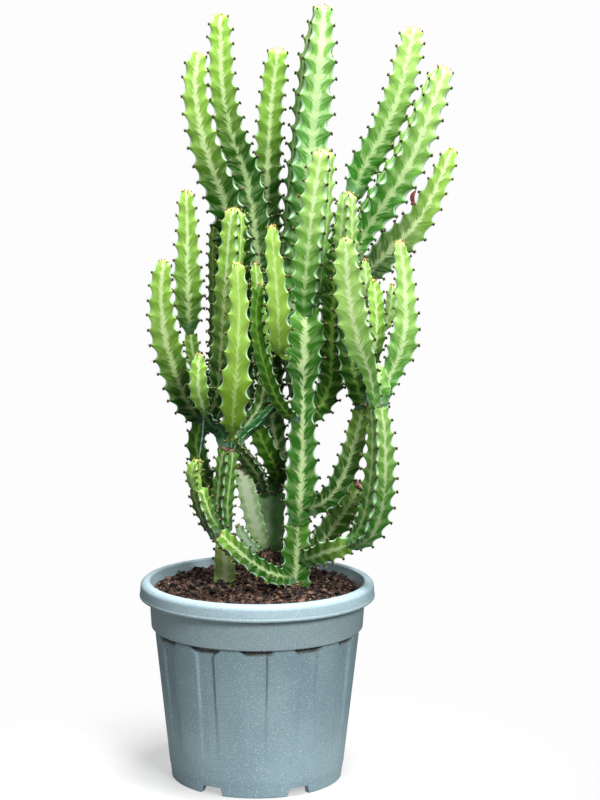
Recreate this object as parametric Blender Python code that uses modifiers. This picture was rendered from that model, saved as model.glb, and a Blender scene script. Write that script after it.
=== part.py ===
"""Potted euphorbia: a branched, winged-stem spurge in a fluted plastic nursery pot.

Metres, +Z up. The origin is the centre of the pot's underside, on the surface it stands on.
The pot is turned from one profile and cut by its flutes, foot notches and drain holes.
Every growth of the plant is a loft of star-shaped sections along a smooth centreline.
A growth is seated on the one that carries it: its base is cut by that one's surface, made a
little larger, so the two touch with a hairline gap.
"""

import math
from dataclasses import dataclass

import bmesh
import bpy
from mathutils import Matrix, Vector

# ---------------------------------------------------------------- driving dimensions
RIM_RADIUS = 0.135
POT_HEIGHT = 0.229
WALL = 0.0022
GAP = 0.0003                    # left between pieces that touch
SEAT_CLEARANCE = 0.0006         # added to a section's radius where it cuts its neighbour

SKIRT_HEIGHT = 0.0185           # turned-down edge of the rim
BEAD = 0.0012                   # raised bead along the skirt's lower edge
COLLAR_TOP_RADIUS = 0.1245
COLLAR_LOW_RADIUS = 0.1215
COLLAR_LOW_Z = 0.175
WALL_TOP_RADIUS = 0.1180
WALL_LOW_RADIUS = 0.1000
FOOT_RADIUS = 0.0985
FLOOR_Z = 0.010                 # underside of the raised ring of the floor
CENTRE_FOOT_RADIUS = 0.044      # flat disc in the middle that also stands on the ground
FOOT_RING_WIDTH = 0.007
TURN_STEPS = 48

FLUTES = 12
FLUTE_ANGLE = math.radians(12.5)
FLUTE_DEPTH = 0.0028
FLUTE_LOW_Z = 0.036
NOTCHES = 6
NOTCH_WIDTH = 0.026
NOTCH_HEIGHT = 0.0095
DRAIN_HOLES = 6
DRAIN_RADIUS = 0.006
DRAIN_CIRCLE = 0.070

SOIL_EDGE_Z = 0.2150
SOIL_CENTRE_Z = 0.2175

PLUG_CENTRE = (0.012, 0.030, 0.225)
PLUG_SIZE = (0.017, 0.014, 0.032)

PLANT_PLACE = Vector((0.0, -0.026, 0.0025))     # the growths' paths are measured from here
PLANT_DEPTH = 1.4               # and stretched by this much from front to back
RING_SPACING = 0.026            # along a growth, between its sections
PATH_STEP = 0.001
CM = 0.01
MM = 0.001

GREEN_YOUNG = (0.30, 0.52, 0.12)
GREEN = (0.17, 0.38, 0.10)
GREEN_DARK = (0.07, 0.19, 0.05)
GREEN_OLIVE = (0.28, 0.40, 0.06)
GREEN_WAXY = (0.14, 0.25, 0.14)


@dataclass
class Growth:
    """One growth of the plant. Radii are those of the rib crests, in millimetres, at the base,
    along the body and at the tip; more than three are spread evenly from base to tip. The path
    runs from base to tip, in centimetres."""
    name: str
    carrier: str
    ribs: int
    turn: float                 # degrees from a rib that faces -Y
    radii: tuple
    path: list
    colour: tuple = GREEN
    swell: float = 4.5          # centimetres over which the narrow foot widens
    cut: bool = False           # ends in a flat cut instead of a growing tip
    beside: tuple = ()          # earlier growths that this one also presses against


GROWTHS = [
    # the three trunks stand in the soil
    Growth("trunk_front", "soil", 3, 60, (18, 21, 17),
           [(4.3, 2.6, 19.8), (4.4, 2.5, 22), (4.5, 2.2, 26), (4.7, 1.6, 30.4)], GREEN_DARK),
    Growth("trunk_rear", "soil", 3, 55, (17, 20, 19),
           [(1.1, 6.0, 19.8), (1.25, 5.9, 23), (1.4, 5.7, 28), (1.6, 5.5, 32.3)], GREEN_WAXY, cut=True),
    Growth("trunk_left", "soil", 3, 50, (14, 15, 12),
           [(-3.6, 2.6, 19.8), (-3.6, 2.4, 23), (-3.6, 2.0, 26), (-3.7, 1.5, 28.6)], GREEN_WAXY),
    # the centre column
    Growth("column_middle", "trunk_front", 3, 60, (17, 23, 21.5, 19, 17.5, 15.5, 24, 27, 15),
           [(4.7, 1.6, 29.8), (5.0, 1.4, 36), (5.1, 1.2, 44), (5.2, 1.0, 50), (5.4, 1.0, 54.5)], GREEN),
    Growth("column_top", "column_middle", 4, 26, (13, 23, 15),
           [(5.4, 1.0, 53.8), (5.8, 0.9, 58), (6.4, 0.6, 65), (7.2, 0.2, 71.8)], GREEN_YOUNG),
    # tall growths behind the column
    Growth("shoot_tall_rear", "column_middle", 4, 67, (10, 27, 14),
           [(5.1, 1.4, 42.5), (4.6, 4.4, 45.5), (4.1, 6.4, 54), (5.2, 6.4, 66), (6.1, 6, 76),
            (7.2, 5, 87.8)], GREEN_YOUNG, swell=16),
    Growth("shoot_rear_centre", "trunk_rear", 3, 60, (10, 22, 15),
           [(2, 5.8, 31.4), (2.4, 7.6, 35), (1.6, 9.2, 41), (1, 10.2, 54), (1, 9.8, 67), (1.4, 9, 76),
            (2.2, 8.2, 83.1)], GREEN, swell=20),
    Growth("shoot_top_left_inner", "shoot_rear_centre", 3, 65, (8, 22, 14),
           [(1.5, 9.2, 43.4), (0.4, 7.4, 45.8), (0.1, 6.8, 56), (-1.2, 6.2, 67), (-3.1, 5.2, 73),
            (-4.2, 4.2, 79), (-4.4, 3.6, 86.7)], GREEN, swell=20),
    # from the cut top of the rear trunk
    Growth("arm_rear_left", "trunk_rear", 3, 50, (9, 15, 12),
           [(1.5, 5.2, 31.8), (2.4, 4.4, 34.4), (1.3, 3.9, 37), (0.1, 3.9, 39.6), (-0.7, 4.2, 41.8)],
           GREEN_DARK, beside=("shoot_rear_centre",)),
    Growth("shoot_top_left_outer", "arm_rear_left", 3, 60, (8, 24, 13),
           [(-0.6, 4.2, 41.2), (-1.7, 4.4, 48), (-2.2, 3.6, 58), (-3.4, 2.5, 64.5), (-4.9, 1.6, 68.8),
            (-6.2, 1, 73), (-7, 0.6, 78), (-6.7, 0.5, 82.4)], GREEN, swell=24,
           beside=("shoot_top_left_inner",)),
    Growth("arm_front_left", "trunk_rear", 3, 30, (7, 11, 9),
           [(0.9, 5, 31.8), (0.1, 2.7, 34.8), (-1.1, 1.8, 36.7), (-2.3, 0.6, 38.4), (-2.9, -0.6, 40)],
           GREEN_DARK, beside=("arm_rear_left",)),
    Growth("shoot_front_olive", "arm_front_left", 3, 60, (3, 17, 22, 17, 14.5, 13, 11),
           [(-2.9, -0.5, 39.6), (-2.7, -2.2, 43), (-2.3, -3, 48.5), (-2.1, -3.2, 54), (-2.3, -3.4, 59.6)],
           GREEN_OLIVE),
    Growth("shoot_slim_rear", "arm_front_left", 3, 70, (6, 11, 8),
           [(-2.4, 0.3, 38.6), (-1.2, 1, 41), (0.2, 1.4, 43.2), (0.7, 1.7, 47), (0.2, 1.6, 52.5),
            (-0.4, 1.4, 59)], GREEN, beside=("shoot_front_olive",)),
    # on the column
    Growth("shoot_slim_front", "column_middle", 3, 45, (6, 12, 9),
           [(4.7, 1.1, 41), (3, 0.2, 42.8), (1.6, -0.6, 45.5), (0.3, -1, 50), (-0.1, -1, 53.5),
            (0.3, -1, 57)], GREEN),
    Growth("shoot_front_centre", "column_middle", 3, 60, (4, 8, 15, 15.5, 13.5, 11.5, 9),
           [(4.8, 0.8, 48.2), (3.2, -1, 49.8), (2.4, -2.2, 52.5), (1.9, -2.7, 57), (1.4, -3, 63.6)],
           GREEN_OLIVE),
    Growth("arm_right_rear", "column_middle", 3, 70, (9, 19, 14),
           [(5.3, 1.8, 41.2), (6.9, 3.5, 42.5), (7.5, 4.6, 45), (8.0, 5.3, 48), (8.4, 5.8, 52),
            (8.8, 6.1, 58), (10.3, 6.3, 66.6)], GREEN_DARK, beside=("shoot_tall_rear",)),
    Growth("shoot_right_inner", "arm_right_rear", 3, 60, (10, 21, 15),
           [(10.9, 6.3, 66), (11.9, 6.3, 69.3), (14.0, 6, 73), (15.6, 5.6, 77), (16.6, 5.2, 81),
            (17.5, 5, 85.4)], GREEN_YOUNG),
    # the right group
    Growth("arm_right", "column_middle", 3, 60, (10, 16, 12),
           [(5, 1.5, 31), (6.9, 1.2, 31.6), (8.7, 1, 33.2), (10.1, 1, 36), (11.1, 1, 39.5),
            (11.9, 1, 43.2)], GREEN),
    Growth("arm_right_upper", "arm_right", 3, 70, (10, 16, 12),
           [(11.9, 1, 42.6), (11.1, 1.3, 46.5), (10.4, 2, 51), (10.6, 2.6, 56), (10.9, 3, 60)],
           GREEN_DARK),
    Growth("shoot_right_middle", "arm_right_upper", 4, 70, (9, 26, 15),
           [(10.8, 2.9, 59), (11.9, 2.9, 62.5), (14.1, 2.8, 66), (17, 2.5, 71), (18.9, 2.2, 76),
            (20.7, 2, 81)], GREEN_YOUNG, swell=9),
    Growth("shoot_right_outer", "arm_right_upper", 3, 60, (9, 21, 22.5, 18, 14, 11),
           [(11, 2.9, 55.8), (12.8, 3.8, 58.1), (14.8, 4.2, 60.2), (18, 4.6, 63.4), (20.3, 4.8, 67.6),
            (22, 5, 71.8)], GREEN, beside=("arm_right_rear",)),
    Growth("shoot_right_back", "arm_right_upper", 4, 0, (8, 15, 11),
           [(10.6, 2.4, 56), (9.8, 0.6, 60), (9.8, 0, 63.5), (9.9, -0.3, 67.1)], GREEN_YOUNG),
    Growth("shoot_right_marbled", "arm_right_upper", 3, 60, (6, 12, 9),
           [(11, 1.4, 47.2), (12.6, 0.4, 48.6), (13.2, 0.2, 51), (13.2, 0.3, 54), (12.9, 0.4, 57.3)], GREEN,
           swell=3),
    Growth("shoot_right_small", "arm_right_upper", 3, 60, (5, 9, 7),
           [(10.5, 2.1, 52), (11.7, 1.7, 54.4), (12.1, 1.4, 56.7), (11.9, 1.2, 59.5)], GREEN_YOUNG),
    Growth("shoot_right_tiny", "arm_right_upper", 3, 60, (5, 9, 7),
           [(10.8, 2, 49.6), (13.2, 2.4, 51), (14.7, 2.4, 52.8), (15.2, 2.2, 56.6)], GREEN_YOUNG,
           beside=("shoot_right_marbled",)),
    # the low right branch
    Growth("arm_low_right", "trunk_front", 3, 60, (9, 16, 13),
           [(4.7, 2.2, 24.6), (7, 1.4, 25.8), (8.9, 0.6, 26.7), (10.8, 0, 27.5)], GREEN),
    Growth("riser_low_right", "arm_low_right", 4, -13, (9, 20, 12),
           [(10.5, 0.1, 27.2), (12.2, -0.8, 28.9), (13.2, -1.5, 32), (13.6, -2, 36.5), (13.5, -2.3, 41),
            (13.1, -2.5, 44)], GREEN),
    Growth("shoot_right_front_left", "riser_low_right", 3, 22, (9, 11, 20, 21, 18.5, 13),
           [(13.2, -2.6, 43.4), (12.4, -2.8, 47.5), (11.1, -3, 51.5), (10.1, -3.2, 56.5),
            (9.6, -3.5, 62.4)], GREEN_YOUNG),
    Growth("shoot_right_front_right", "riser_low_right", 3, 60, (9, 14, 19, 15, 12, 9),
           [(13.5, -2.2, 43.3), (14.3, -1.9, 46.2), (15.7, -1.6, 49.5), (16.3, -1.5, 53), (16.1, -1.5, 58),
            (15.5, -1.5, 61.9)], GREEN_YOUNG, beside=("shoot_right_front_left",)),
    Growth("shoot_low_right_thin", "arm_low_right", 3, 60, (5, 10, 8),
           [(10.4, 0.2, 26.6), (11.5, 2, 28.6), (12.6, 2.8, 31), (13, 3, 33)], GREEN_DARK,
           beside=("riser_low_right",)),
    Growth("stub_right_cut", "trunk_front", 3, 60, (11, 20, 18),
           [(4.6, 2.4, 24.6), (7.1, 5, 25.8), (9.2, 6, 28.2), (11.1, 6, 31), (12.1, 6, 32.5)], GREEN_DARK,
           cut=True, beside=("arm_low_right",)),
    # the left group
    Growth("arm_left", "trunk_left", 3, 40, (8, 15, 12),
           [(-4, 2.1, 27.2), (-5.2, 3, 31.9), (-6.3, 3.2, 35.6), (-6.8, 3, 38.5), (-6, 2.6, 41.4)],
           GREEN_DARK),
    Growth("shoot_left_outer", "arm_left", 3, 60, (8, 20, 11),
           [(-6.3, 2.8, 40.8), (-7.8, 2, 42.8), (-9.2, 1.2, 46.5), (-10.4, 0.5, 51), (-10.8, 0, 55.5),
            (-10.5, -0.3, 59.5)], GREEN),
    Growth("arm_left_front", "arm_left", 3, 60, (6, 12, 9),
           [(-6, 2.6, 41), (-6.3, 2.5, 45), (-7.2, 2, 48.2), (-7.7, 1.6, 51.2)], GREEN,
           beside=("shoot_left_outer",)),
    Growth("shoot_left_tall", "arm_left_front", 3, 60, (5, 17, 20.5, 18.5, 16, 14, 12, 10.5),
           [(-7.7, 1.6, 50.8), (-7.8, 1.3, 54), (-7.9, 1, 58.5), (-7.9, 0.7, 63), (-8, 0.5, 67.2)], GREEN),
    Growth("shoot_left_short", "arm_left", 3, 60, (2, 2.5, 7, 13, 13.5, 12, 9),
           [(-5.9, 2.4, 40.4), (-5.9, 0.2, 42), (-6.6, -1.4, 45.5), (-6.5, -1.6, 49.3)], GREEN,
           beside=("shoot_left_outer", "arm_left_front")),
    Growth("shoot_left_rear", "arm_left", 4, 0, (6, 12, 10),
           [(-5.9, 2.9, 40.8), (-4.8, 4.6, 44.2), (-4.6, 5, 51), (-4.7, 4.6, 58), (-4.7, 4.2, 63.3)], GREEN,
           beside=("arm_left_front", "shoot_left_outer")),
    Growth("shoot_left_inner", "arm_left", 4, 16, (7, 18, 13),
           [(-5.8, 2.4, 40.6), (-4.2, 1.2, 44), (-3.6, 0.9, 50.5), (-3.2, 0.4, 57), (-2.6, 0, 65.3)], GREEN,
           beside=("arm_left_front", "shoot_left_outer", "shoot_left_rear", "shoot_left_short",
                   "shoot_front_olive")),
    # low on the left
    Growth("shoot_low_centre", "trunk_left", 4, 0, (8, 14, 12),
           [(-3.7, 1.6, 28.2), (-4, 0.7, 31.4), (-3.7, 0.2, 35), (-3.3, 0, 38.3)], GREEN,
           beside=("arm_left",)),
    Growth("arm_low_left", "trunk_front", 3, -15, (9, 15, 13),
           [(4.2, 2.4, 22.3), (1.5, 0.4, 23.4), (-0.8, -0.8, 25.1), (-2.9, -1.8, 27.2), (-4.7, -2.4, 29.2)],
           GREEN),
    Growth("arm_low_left_end", "arm_low_left", 3, 0, (9, 14, 12),
           [(-4.6, -2.4, 29), (-5.8, -2.8, 31.5), (-6.8, -3, 34.6)], GREEN),
    Growth("shoot_low_left", "arm_low_left_end", 3, 15, (6, 11, 11),
           [(-6.7, -3, 34.2), (-7, -3, 36), (-6.7, -3, 37.7)], GREEN_YOUNG),
    Growth("stub_pale_cut", "trunk_rear", 3, 70, (8, 14, 13),
           [(0.9, 5.4, 25.2), (-0.3, 4.2, 28.3), (-1.2, 3.4, 32), (-2, 3, 35.6)], GREEN_YOUNG, cut=True,
           beside=("arm_front_left",)),
    Growth("stub_small_dark", "trunk_rear", 3, 60, (5, 8, 8),
           [(0.9, 5.6, 24.2), (-0.5, 4.4, 25.6), (-1.6, 4, 27), (-2.3, 3.8, 28.4)], GREEN_WAXY,
           beside=("stub_pale_cut",)),
]


# ---------------------------------------------------------------- scene helpers
def clear_scene():
    for obj in list(bpy.data.objects):
        bpy.data.objects.remove(obj, do_unlink=True)


def new_collection(name):
    collection = bpy.data.collections.new(name)
    bpy.context.scene.collection.children.link(collection)
    return collection


def new_material(name, colour, roughness, metallic=0.0):
    material = bpy.data.materials.new(name)
    material.use_nodes = True
    shader = material.node_tree.nodes["Principled BSDF"]
    shader.inputs["Base Color"].default_value = (*colour, 1.0)
    shader.inputs["Roughness"].default_value = roughness
    shader.inputs["Metallic"].default_value = metallic
    return material


def new_object(name, mesh, collection, material=None):
    obj = bpy.data.objects.new(name, mesh)
    collection.objects.link(obj)
    if material:
        mesh.materials.append(material)
    return obj


def mesh_from(bm, name):
    bmesh.ops.recalc_face_normals(bm, faces=bm.faces)
    mesh = bpy.data.meshes.new(name)
    bm.to_mesh(mesh)
    bm.free()
    return mesh


def hide_as_cutter(obj):
    obj.hide_render = True
    obj.display_type = "WIRE"
    return obj


def cut(obj, cutter):
    modifier = obj.modifiers.new("cut_" + cutter.name, "BOOLEAN")
    modifier.operation = "DIFFERENCE"
    modifier.solver = "EXACT"
    modifier.object = cutter


def turned(name, profile, steps, collection, material):
    """A solid of revolution about Z. The profile runs from the axis back to the axis."""
    mesh = bpy.data.meshes.new(name)
    points = [(radius, 0.0, height) for radius, height in profile]
    mesh.from_pydata(points, [(i, i + 1) for i in range(len(points) - 1)], [])
    obj = new_object(name, mesh, collection, material)
    screw = obj.modifiers.new("turn", "SCREW")
    screw.steps = steps
    screw.render_steps = steps
    screw.use_merge_vertices = True
    screw.merge_threshold = 0.0001
    return obj


# ---------------------------------------------------------------- pot
def wall_radius(height):
    """Outer radius of the tapered wall below the collar."""
    return WALL_LOW_RADIUS + (WALL_TOP_RADIUS - WALL_LOW_RADIUS) * (height - FLOOR_Z) / (COLLAR_LOW_Z - FLOOR_Z)


def inner_wall(inset=0.0):
    """The pot's inside from the floor's centre to the top of the rim, moved inwards by inset."""
    base = WALL + inset
    recess = FLUTE_DEPTH + 0.0012 + inset
    raised = FLOOR_Z + base
    return [
        (0.0, base),
        (CENTRE_FOOT_RADIUS - 0.004, base),
        (CENTRE_FOOT_RADIUS + 0.002 - inset, raised),
        (WALL_LOW_RADIUS - recess - 0.006, raised),
        (WALL_LOW_RADIUS - recess, raised + 0.006),
        (wall_radius(COLLAR_LOW_Z) - recess, COLLAR_LOW_Z + 0.002),
        (COLLAR_LOW_RADIUS - base + 0.0004, COLLAR_LOW_Z + 0.008),
    ]


def pot_profile():
    top = POT_HEIGHT
    skirt_low = top - SKIRT_HEIGHT
    rim_in = COLLAR_TOP_RADIUS - WALL
    outside = [
        (rim_in - 0.0002, top - 0.004),
        (rim_in + 0.0008, top - 0.0010),
        (rim_in + 0.0030, top),
        (RIM_RADIUS - 0.0045, top - 0.0004),
        (RIM_RADIUS - 0.0016, top - 0.0024),
        (RIM_RADIUS - 0.0008, top - 0.0055),
        (RIM_RADIUS - BEAD, skirt_low + 0.0035),
        (RIM_RADIUS, skirt_low + 0.0026),
        (RIM_RADIUS, skirt_low + 0.0006),
        (RIM_RADIUS - BEAD, skirt_low),
        (RIM_RADIUS - WALL - BEAD, skirt_low),
        (RIM_RADIUS - WALL - BEAD, top - 0.0050),
        (COLLAR_TOP_RADIUS, top - 0.0040),
        (COLLAR_LOW_RADIUS, COLLAR_LOW_Z + 0.0025),
        (COLLAR_LOW_RADIUS - 0.0012, COLLAR_LOW_Z),
        (WALL_TOP_RADIUS, COLLAR_LOW_Z - 0.004),
        (wall_radius(FLUTE_LOW_Z), FLUTE_LOW_Z),
        (WALL_LOW_RADIUS, FLOOR_Z + 0.004),
        (FOOT_RADIUS + 0.0006, FLOOR_Z - 0.003),
        (FOOT_RADIUS, 0.0015),
        (FOOT_RADIUS - 0.0015, 0.0),
        (FOOT_RADIUS - FOOT_RING_WIDTH, 0.0),
        (FOOT_RADIUS - FOOT_RING_WIDTH - 0.0008, FLOOR_Z),
        (CENTRE_FOOT_RADIUS + 0.002, FLOOR_Z),
        (CENTRE_FOOT_RADIUS, 0.0),
        (0.0, 0.0),
    ]
    return inner_wall() + outside


def box_cutter(corner, count, name, collection):
    """Copies of a box around Z. corner(i, j, k, n) places copy n's corner with signs i, j and k."""
    bm = bmesh.new()
    for n in range(count):
        made = bmesh.ops.create_cube(bm, size=2.0)["verts"]
        for vert in made:
            vert.co = Vector(corner(*(round(value) for value in vert.co), n))
        spin = Matrix.Rotation(n * math.tau / count, 4, "Z")
        bmesh.ops.transform(bm, matrix=spin, verts=made)
    return hide_as_cutter(new_object(name, mesh_from(bm, name), collection))


def flute_corner(outward, across, upward, _):
    """Deepest under the collar, and running out to nothing at the bottom. X points outwards."""
    height = COLLAR_LOW_Z - 0.0008 if upward > 0 else FLUTE_LOW_Z
    depth = FLUTE_DEPTH if upward > 0 else -0.0002
    width = FLUTE_ANGLE if upward > 0 else 0.86 * FLUTE_ANGLE
    inner = wall_radius(height) * math.cos(width / 2) - depth
    radius = inner if outward < 0 else wall_radius(COLLAR_LOW_Z) + 0.0025
    return radius, across * radius * math.tan(width / 2), height


def notch_corner(outward, across, upward, number):
    """One side of a notch is upright and the other slants, in mirrored pairs."""
    half = NOTCH_WIDTH / 2
    slanted = across > 0 if number % 2 else across < 0
    slant = 0.004 if slanted and upward > 0 else 0.0
    height = NOTCH_HEIGHT if upward > 0 else -0.002
    radius = FOOT_RADIUS + 0.006 if outward > 0 else FOOT_RADIUS - FOOT_RING_WIDTH - 0.004
    return radius, across * (half - slant), height


def drain_cutter(collection):
    bm = bmesh.new()
    for n in range(DRAIN_HOLES):
        angle = n * math.tau / DRAIN_HOLES
        place = Matrix.Rotation(angle, 4, "Z") @ Matrix.Translation((DRAIN_CIRCLE, 0.0, FLOOR_Z))
        bmesh.ops.create_cone(bm, cap_ends=True, segments=12, radius1=DRAIN_RADIUS, radius2=DRAIN_RADIUS,
                              depth=4 * WALL, matrix=place)
    return hide_as_cutter(new_object("drain_cutter", mesh_from(bm, "drain_cutter"), collection))


def build_pot(parts, cutters):
    plastic = new_material("pot_plastic", (0.33, 0.43, 0.46), 0.55)
    pot = turned("pot", pot_profile(), TURN_STEPS, parts, plastic)
    cut(pot, box_cutter(flute_corner, FLUTES, "flute_cutter", cutters))
    cut(pot, box_cutter(notch_corner, NOTCHES, "notch_cutter", cutters))
    cut(pot, drain_cutter(cutters))
    return pot


# ---------------------------------------------------------------- soil
def build_soil(parts):
    """Fills the pot up to a low mound."""
    peat = new_material("soil_peat", (0.045, 0.03, 0.025), 0.95)
    lower = inner_wall(GAP)
    share = (SOIL_EDGE_Z - COLLAR_LOW_Z) / (POT_HEIGHT - COLLAR_LOW_Z)
    edge = COLLAR_LOW_RADIUS + share * (COLLAR_TOP_RADIUS - COLLAR_LOW_RADIUS) - WALL - 3 * GAP
    surface = [
        (0.0, SOIL_CENTRE_Z),
        (0.045, SOIL_CENTRE_Z - 0.001),
        (0.085, 0.5 * (SOIL_CENTRE_Z + SOIL_EDGE_Z)),
        (edge - 0.012, SOIL_EDGE_Z + 0.0005),
        (edge, SOIL_EDGE_Z - 0.002),
    ]
    return turned("soil", surface + lower[::-1], TURN_STEPS, parts, peat)


def lump(name, grow, collection):
    bm = bmesh.new()
    bmesh.ops.create_icosphere(bm, subdivisions=2, radius=1.0)
    size = Vector(PLUG_SIZE) + Vector((grow, grow, grow))
    place = Matrix.Translation(PLUG_CENTRE) @ Matrix.Diagonal((*size, 1.0))
    bmesh.ops.transform(bm, matrix=place, verts=bm.verts)
    return new_object(name, mesh_from(bm, name), collection)


# ---------------------------------------------------------------- plant
def smooth_path(points):
    """A Catmull-Rom curve through the points, cut into short equal steps."""
    first = 2 * points[0] - points[1]
    last = 2 * points[-1] - points[-2]
    knots = [first] + points + [last]
    dense = []
    for a, b, c, d in zip(knots, knots[1:], knots[2:], knots[3:]):
        count = max(2, round((c - b).length / PATH_STEP))
        for i in range(count):
            t = i / count
            dense.append(0.5 * (2 * b + (c - a) * t + (2 * a - 5 * b + 4 * c - d) * t ** 2
                                + (3 * b - a - 3 * c + d) * t ** 3))
    dense.append(points[-1])
    return dense


def girth(share, radii):
    """The radius a share of the way along radii spread evenly from foot to tip."""
    place = min(max(share, 0.0), 0.9999) * (len(radii) - 1)
    index = int(place)
    ease = 0.5 - 0.5 * math.cos(math.pi * (place - index))
    return radii[index] + (radii[index + 1] - radii[index]) * ease


def crest_radius(distance, length, growth):
    """Crest radius along a growth: a narrow foot, a full body and a slimmer, rounded tip."""
    if len(growth.radii) > 3:
        radius = girth(distance / length, growth.radii) * MM
    else:
        foot, body, tip = (radius * MM for radius in growth.radii)
        swell = min(1.0, distance / min(growth.swell * CM, 0.55 * length))
        rise = foot + (body - foot) * math.sin(0.5 * math.pi * swell)
        fade = min(1.0, (length - distance) / (0.6 * length))
        fall = tip + (body - tip) * math.sin(0.5 * math.pi * fade)
        radius = min(rise, fall)
    if growth.cut:
        return radius
    dome = min(1.0, (length - distance) / 0.012)
    return radius * math.sqrt(1.0 - (1.0 - dome) ** 2)


def stations(length, is_cut):
    """Distances of the sections along a growth: close at the foot and the tip."""
    foot = [0.004, 0.012]
    tip = [length] if is_cut else [length - 0.0095, length - 0.003]
    start = foot[-1]
    end = length if is_cut else tip[0]
    count = max(2, round((end - start) / RING_SPACING))
    body = [start + (end - start) * i / count for i in range(1, count)]
    return foot + body + tip


def section(centre, along, radius, growth, roundness, grow):
    """Points of a star: rib crests with hollows between them."""
    front = Vector((0.0, -1.0, 0.0))
    front = (front - front.dot(along) * along).normalized()
    side = along.cross(front)
    hollow = (0.47 if growth.ribs == 3 else 0.62) * (1 - roundness) + 0.85 * roundness
    points = []
    for i in range(2 * growth.ribs):
        angle = math.radians(growth.turn) + i * math.pi / growth.ribs
        reach = radius * (hollow if i % 2 else 1.0) + grow
        points.append(centre + reach * (math.cos(angle) * front + math.sin(angle) * side))
    return points


def growth_mesh(growth, grow=0.0):
    """The loft of one growth. grow makes every section larger, to cut a seat."""
    path = smooth_path([PLANT_PLACE + Vector((x, y * PLANT_DEPTH, z)) * CM for x, y, z in growth.path])
    lengths = [0.0]
    for a, b in zip(path, path[1:]):
        lengths.append(lengths[-1] + (b - a).length)
    total = lengths[-1]
    bm = bmesh.new()
    rings = []
    for distance in stations(total, growth.cut):
        index = min(range(len(lengths)), key=lambda i: abs(lengths[i] - distance))
        before = path[max(0, index - 3)]
        after = path[min(len(path) - 1, index + 3)]
        along = (after - before).normalized()
        radius = crest_radius(distance, total, growth)
        roundness = max(0.0, 1.0 - distance / 0.02)
        centre = path[index] + grow * along * (1 if distance > 0.5 * total else -1)
        rings.append([bm.verts.new(p) for p in section(centre, along, radius, growth, roundness, grow)])
    ends = []
    for point, ring, sign in ((path[0], rings[0], -1), (path[-1], rings[-1], 1)):
        outward = (path[-1] - path[-4] if sign > 0 else path[3] - path[0]).normalized()
        ends.append(bm.verts.new(point + sign * grow * outward))
    for low, high in zip(rings, rings[1:]):
        for i in range(len(low)):
            j = (i + 1) % len(low)
            bm.faces.new((low[i], low[j], high[j]))
            bm.faces.new((low[i], high[j], high[i]))
    for pole, ring in zip(ends, (rings[0], rings[-1])):
        for i in range(len(ring)):
            bm.faces.new((pole, ring[i], ring[(i + 1) % len(ring)]))
    return mesh_from(bm, growth.name)


def build_plant(parts, cutters, soil):
    seats = {}
    for growth in GROWTHS:
        skin = new_material(growth.name + "_skin", growth.colour, 0.5)
        obj = new_object(growth.name, growth_mesh(growth), parts, skin)
        seat = new_object(growth.name + "_seat", growth_mesh(growth, SEAT_CLEARANCE), cutters)
        seats[growth.name] = hide_as_cutter(seat)
        if growth.carrier == "soil":
            cut(soil, seats[growth.name])
        else:
            cut(obj, seats[growth.carrier])
        for neighbour in growth.beside:
            cut(obj, seats[neighbour])
    return seats


def main():
    clear_scene()
    parts = new_collection("potted_euphorbia")
    cutters = new_collection("cutters")
    build_pot(parts, cutters)
    soil = build_soil(parts)
    seats = build_plant(parts, cutters, soil)
    plug = lump("peat_plug", 0.0, parts)
    plug.data.materials.append(new_material("plug_peat", (0.05, 0.035, 0.035), 0.95))
    for name in ("trunk_rear", "trunk_front"):
        cut(plug, seats[name])
    cut(soil, hide_as_cutter(lump("plug_seat", SEAT_CLEARANCE, cutters)))


main()
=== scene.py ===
# %% [markdown]
# # A potted euphorbia
# This spurge grows as a candelabra: winged green stems branch from three short trunks and stand in
# a fluted nursery pot full of dark peat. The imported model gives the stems' sizes and places,
# and some of them differ here. This script dresses it: toothed ribs, spines, marbled skin,
# loose soil and speckled plastic.

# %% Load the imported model
import math
import random
from dataclasses import dataclass

import bmesh
import bpy
import numpy as np
from mathutils import Matrix, Vector, noise


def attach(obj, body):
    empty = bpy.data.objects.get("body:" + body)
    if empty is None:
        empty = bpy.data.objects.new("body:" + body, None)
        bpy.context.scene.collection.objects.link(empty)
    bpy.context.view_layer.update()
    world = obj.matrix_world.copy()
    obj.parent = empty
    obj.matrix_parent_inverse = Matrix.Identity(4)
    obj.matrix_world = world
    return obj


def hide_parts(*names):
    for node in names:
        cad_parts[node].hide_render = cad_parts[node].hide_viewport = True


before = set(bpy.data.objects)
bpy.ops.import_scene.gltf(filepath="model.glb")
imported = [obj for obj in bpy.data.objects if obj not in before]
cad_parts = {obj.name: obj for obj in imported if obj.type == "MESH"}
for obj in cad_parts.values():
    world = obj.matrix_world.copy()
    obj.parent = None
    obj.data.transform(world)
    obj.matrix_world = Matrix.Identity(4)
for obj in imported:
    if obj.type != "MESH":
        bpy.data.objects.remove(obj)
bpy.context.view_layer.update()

MM = 0.001
CM = 0.01

# %% [markdown]
# ## Shader maths as plain expressions
# A material's pattern is arithmetic on coordinates. Wiring every Math node by hand hides that, so a
# small class wraps a socket and each operator adds its own node. Colours go through Mix nodes.

# %% A socket that takes part in sums
class Wire:
    def __init__(self, finish, socket):
        self.finish = finish
        self.socket = socket

    def math(self, operation, *others):
        return self.finish.math(operation, self, *others)

    def __add__(self, other):
        return self.math("ADD", other)

    def __sub__(self, other):
        return self.math("SUBTRACT", other)

    def __mul__(self, other):
        return self.math("MULTIPLY", other)

    __radd__ = __add__
    __rmul__ = __mul__

    def __abs__(self):
        return self.math("ABSOLUTE")

    def fraction(self):
        return self.math("FRACT")

    def between(self, low, high):
        """0 below low, 1 above high, and a smooth step from one to the other."""
        node = self.finish.add("ShaderNodeMapRange", {"interpolation_type": "SMOOTHSTEP"},
                               {"Value": self, "From Min": low, "From Max": high})
        return self.finish.wire(node)


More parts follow.
